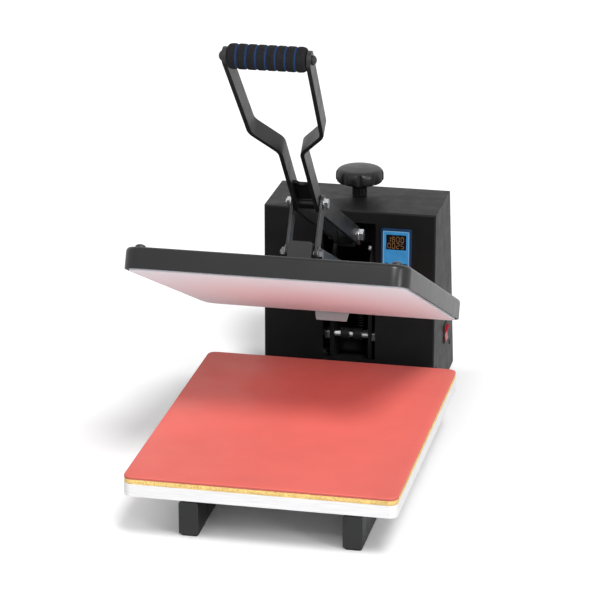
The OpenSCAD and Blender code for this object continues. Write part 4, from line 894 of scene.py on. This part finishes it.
class PRESS_OT_display(bpy.types.Operator):
    """Makes the lit digits behind the controller's window"""

    bl_idname = "press.display"
    bl_label = "Display"

    def execute(self, context):
        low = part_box("display_window")[0]
        # Bars of a digit in a cell one wide and two high, as (x, z, width, height)
        bars = np.array([
            [0.12, 1.86, 0.76, 0.14], [0.86, 1.08, 0.14, 0.78], [0.86, 0.14, 0.14, 0.78],
            [0.12, 0.0, 0.76, 0.14], [0.0, 0.14, 0.14, 0.78], [0.0, 1.08, 0.14, 0.78],
            [0.12, 0.93, 0.76, 0.14],
        ])
        # Cell of a digit, margin and pitch along a row, base of each row, and how far the bars stand out
        cell = np.array([0.0046, 0.0043])
        margin, pitch = 0.0022, 0.0068
        rows = (("1800", 0.0122), ("0025", 0.002))
        proud, thick = 0.0001, 0.00015
        made = []
        for text, base in rows:
            for place, digit in enumerate(text):
                lit_bars = bars[np.array([c == "1" for c in SEGMENTS[digit]])]
                shift = np.array([margin + pitch * place, base])
                made.append(np.column_stack([lit_bars[:, :2] * cell + shift, lit_bars[:, 2:] * cell]))
        flat = np.concatenate(made)
        count = len(flat)
        lows = np.column_stack([low.x + flat[:, 0], np.full(count, low.y - proud), low.z + flat[:, 1]])
        highs = lows + np.column_stack([flat[:, 2], np.full(count, thick), flat[:, 3]])
        points, faces = boxes(lows, highs)
        mesh = mesh_from("display_digits", points, faces, smooth=False)
        add_object("display_digits", mesh, "amber_digits", "frame", slot_of("display_window"))
        return {"FINISHED"}


class PRESS_OT_stage(bpy.types.Operator):
    """Sets the floor, the light and the camera"""

    bl_idname = "press.stage"
    bl_label = "Stage"

    def execute(self, context):
        s = context.scene.press_stage
        scene = context.scene
        half = s.floor_half
        corners = np.array([[-half, -half, 0], [half, -half, 0], [half, half, 0], [-half, half, 0]])
        mesh = mesh_from("floor", corners, [[0, 1, 2, 3]], smooth=False)
        floor = bpy.data.objects.new("floor", mesh)
        scene.collection.objects.link(floor)
        f = Finish("pale_floor", [s.floor_white] * 3, 0.0, 0.9, **{"Specular IOR Level": 0.1})
        f.set("Base Color", f.tint(f.spread(f.noise(3, 2), 0, 1), 0.995, 1.0))
        f.shader.inputs["Emission Color"].default_value = (1, 1, 1, 1)
        # White that only the camera sees, which fades out on the floor between the rails and leaves a painted
        # shade under the table there
        inner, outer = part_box("base_rail_right")
        beside = f.spread(f.away("X", 0), 0, 1, inner.x, outer.x + s.painted_shade_fade)
        middle, run = (inner.y + outer.y) / 2, (outer.y - inner.y) / 2
        beyond = f.spread(f.away("Y", middle), 0, 1, run - s.painted_shade_fade / 2, run + s.painted_shade_fade / 2)
        seen = f.node("ShaderNodeLightPath").outputs["Is Camera Ray"]
        clear = f.sum("MULTIPLY", seen, f.sum("MAXIMUM", beside, beyond))
        f.set("Emission Strength", f.spread(clear, 0, s.floor_lift, 0, 1))
        mesh.materials.append(f.material)

        # The camera, gloss and glass see a white world, and the rest is lit by an even grey one
        world = bpy.data.worlds.new("studio")
        scene.world = world
        world.use_nodes = True
        tree = world.node_tree
        tree.nodes.clear()
        path = tree.nodes.new("ShaderNodeLightPath")
        seen = tree.nodes.new("ShaderNodeMath")
        seen.operation = "MAXIMUM"
        clear = tree.nodes.new("ShaderNodeMath")
        clear.operation = "MAXIMUM"
        tree.links.new(path.outputs["Is Camera Ray"], seen.inputs[0])
        tree.links.new(path.outputs["Is Glossy Ray"], seen.inputs[1])
        tree.links.new(seen.outputs[0], clear.inputs[0])
        tree.links.new(path.outputs["Is Transmission Ray"], clear.inputs[1])
        shown = tree.nodes.new("ShaderNodeBackground")
        light = tree.nodes.new("ShaderNodeBackground")
        shown.inputs["Color"].default_value = (1, 1, 1, 1)
        shown.inputs["Strength"].default_value = 1.0
        light.inputs["Color"].default_value = (1, 1, 1, 1)
        light.inputs["Strength"].default_value = s.sky
        mixed = tree.nodes.new("ShaderNodeMixShader")
        tree.links.new(clear.outputs[0], mixed.inputs[0])
        tree.links.new(light.outputs[0], mixed.inputs[1])
        tree.links.new(shown.outputs[0], mixed.inputs[2])
        out = tree.nodes.new("ShaderNodeOutputWorld")
        tree.links.new(mixed.outputs[0], out.inputs["Surface"])

        # Name, strength, size in degrees and the way towards the lamp
        suns = (
            ("top_light", s.top, 12, (0.38, -0.86, 1.0)),
            ("side_light", s.side, 16, (1.0, -0.6, 0.35)),
            ("fill_light", s.fill, 50, (0.15, -1.0, 0.1)),
        )
        for name, strength, angle, towards in suns:
            lamp = bpy.data.lights.new(name, "SUN")
            lamp.energy = strength
            lamp.angle = math.radians(angle)
            holder = bpy.data.objects.new(name, lamp)
            holder.rotation_mode = "QUATERNION"
            holder.rotation_quaternion = Vector(towards).to_track_quat("Z", "Y")
            scene.collection.objects.link(holder)

        low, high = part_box("silicone_pad")
        target = Vector(((low.x + high.x) / 2, (low.y + high.y) / 2, high.z))
        a, e = math.radians(s.azimuth), math.radians(s.elevation)
        back = Vector((math.sin(a) * math.cos(e), -math.cos(a) * math.cos(e), math.sin(e)))
        right = Vector((math.cos(a), math.sin(a), 0))
        up = back.cross(right)
        camera = bpy.data.cameras.new("camera")
        camera.lens = s.lens
        camera.sensor_width = 36
        camera.clip_start, camera.clip_end = 0.05, 200
        holder = bpy.data.objects.new("camera", camera)
        holder.location = target + back * s.distance + right * s.slide + up * s.lift
        holder.rotation_mode = "QUATERNION"
        holder.rotation_quaternion = (-back).to_track_quat("-Z", "Y")
        scene.collection.objects.link(holder)
        scene.camera = holder
        scene.view_settings.view_transform = "Standard"
        return {"FINISHED"}


OPERATORS = (
    PRESS_OT_finishes, PRESS_OT_steelwork, PRESS_OT_pad_layers, PRESS_OT_foam_grip, PRESS_OT_lift_spring,
    PRESS_OT_stop_bolt, PRESS_OT_display, PRESS_OT_stage,
)


class PRESS_PT_panel(bpy.types.Panel):
    """Lists the steps that dress the press"""

    bl_idname = "PRESS_PT_panel"
    bl_label = "Flat heat press"
    bl_space_type = "VIEW_3D"
    bl_region_type = "UI"
    bl_category = "Press"

    def draw(self, context):
        layout = self.layout
        for group in ("press_finishes", "press_sizes", "press_stage"):
            settings = getattr(context.scene, group)
            for name in settings.__annotations__:
                layout.prop(settings, name)
        for operator in OPERATORS:
            layout.operator(operator.bl_idname)


CLASSES = (PressFinishes, PressSizes, PressStage, *OPERATORS, PRESS_PT_panel)


def register():
    """Registers the classes and puts the settings on the scene."""
    for cls in CLASSES:
        bpy.utils.register_class(cls)
    bpy.types.Scene.press_finishes = PointerProperty(type=PressFinishes)
    bpy.types.Scene.press_sizes = PointerProperty(type=PressSizes)
    bpy.types.Scene.press_stage = PointerProperty(type=PressStage)


def unregister():
    """Takes the settings and the classes away again."""
    del bpy.types.Scene.press_stage
    del bpy.types.Scene.press_sizes
    del bpy.types.Scene.press_finishes
    for cls in reversed(CLASSES):
        bpy.utils.unregister_class(cls)


def main():
    """Builds the press and its stage."""
    register()
    bpy.ops.press.stage()
    bpy.ops.press.finishes()
    bpy.ops.press.steelwork()
    bpy.ops.press.pad_layers()
    bpy.ops.press.foam_grip()
    bpy.ops.press.lift_spring()
    bpy.ops.press.stop_bolt()
    bpy.ops.press.display()


if __name__ == "__main__":
    main()
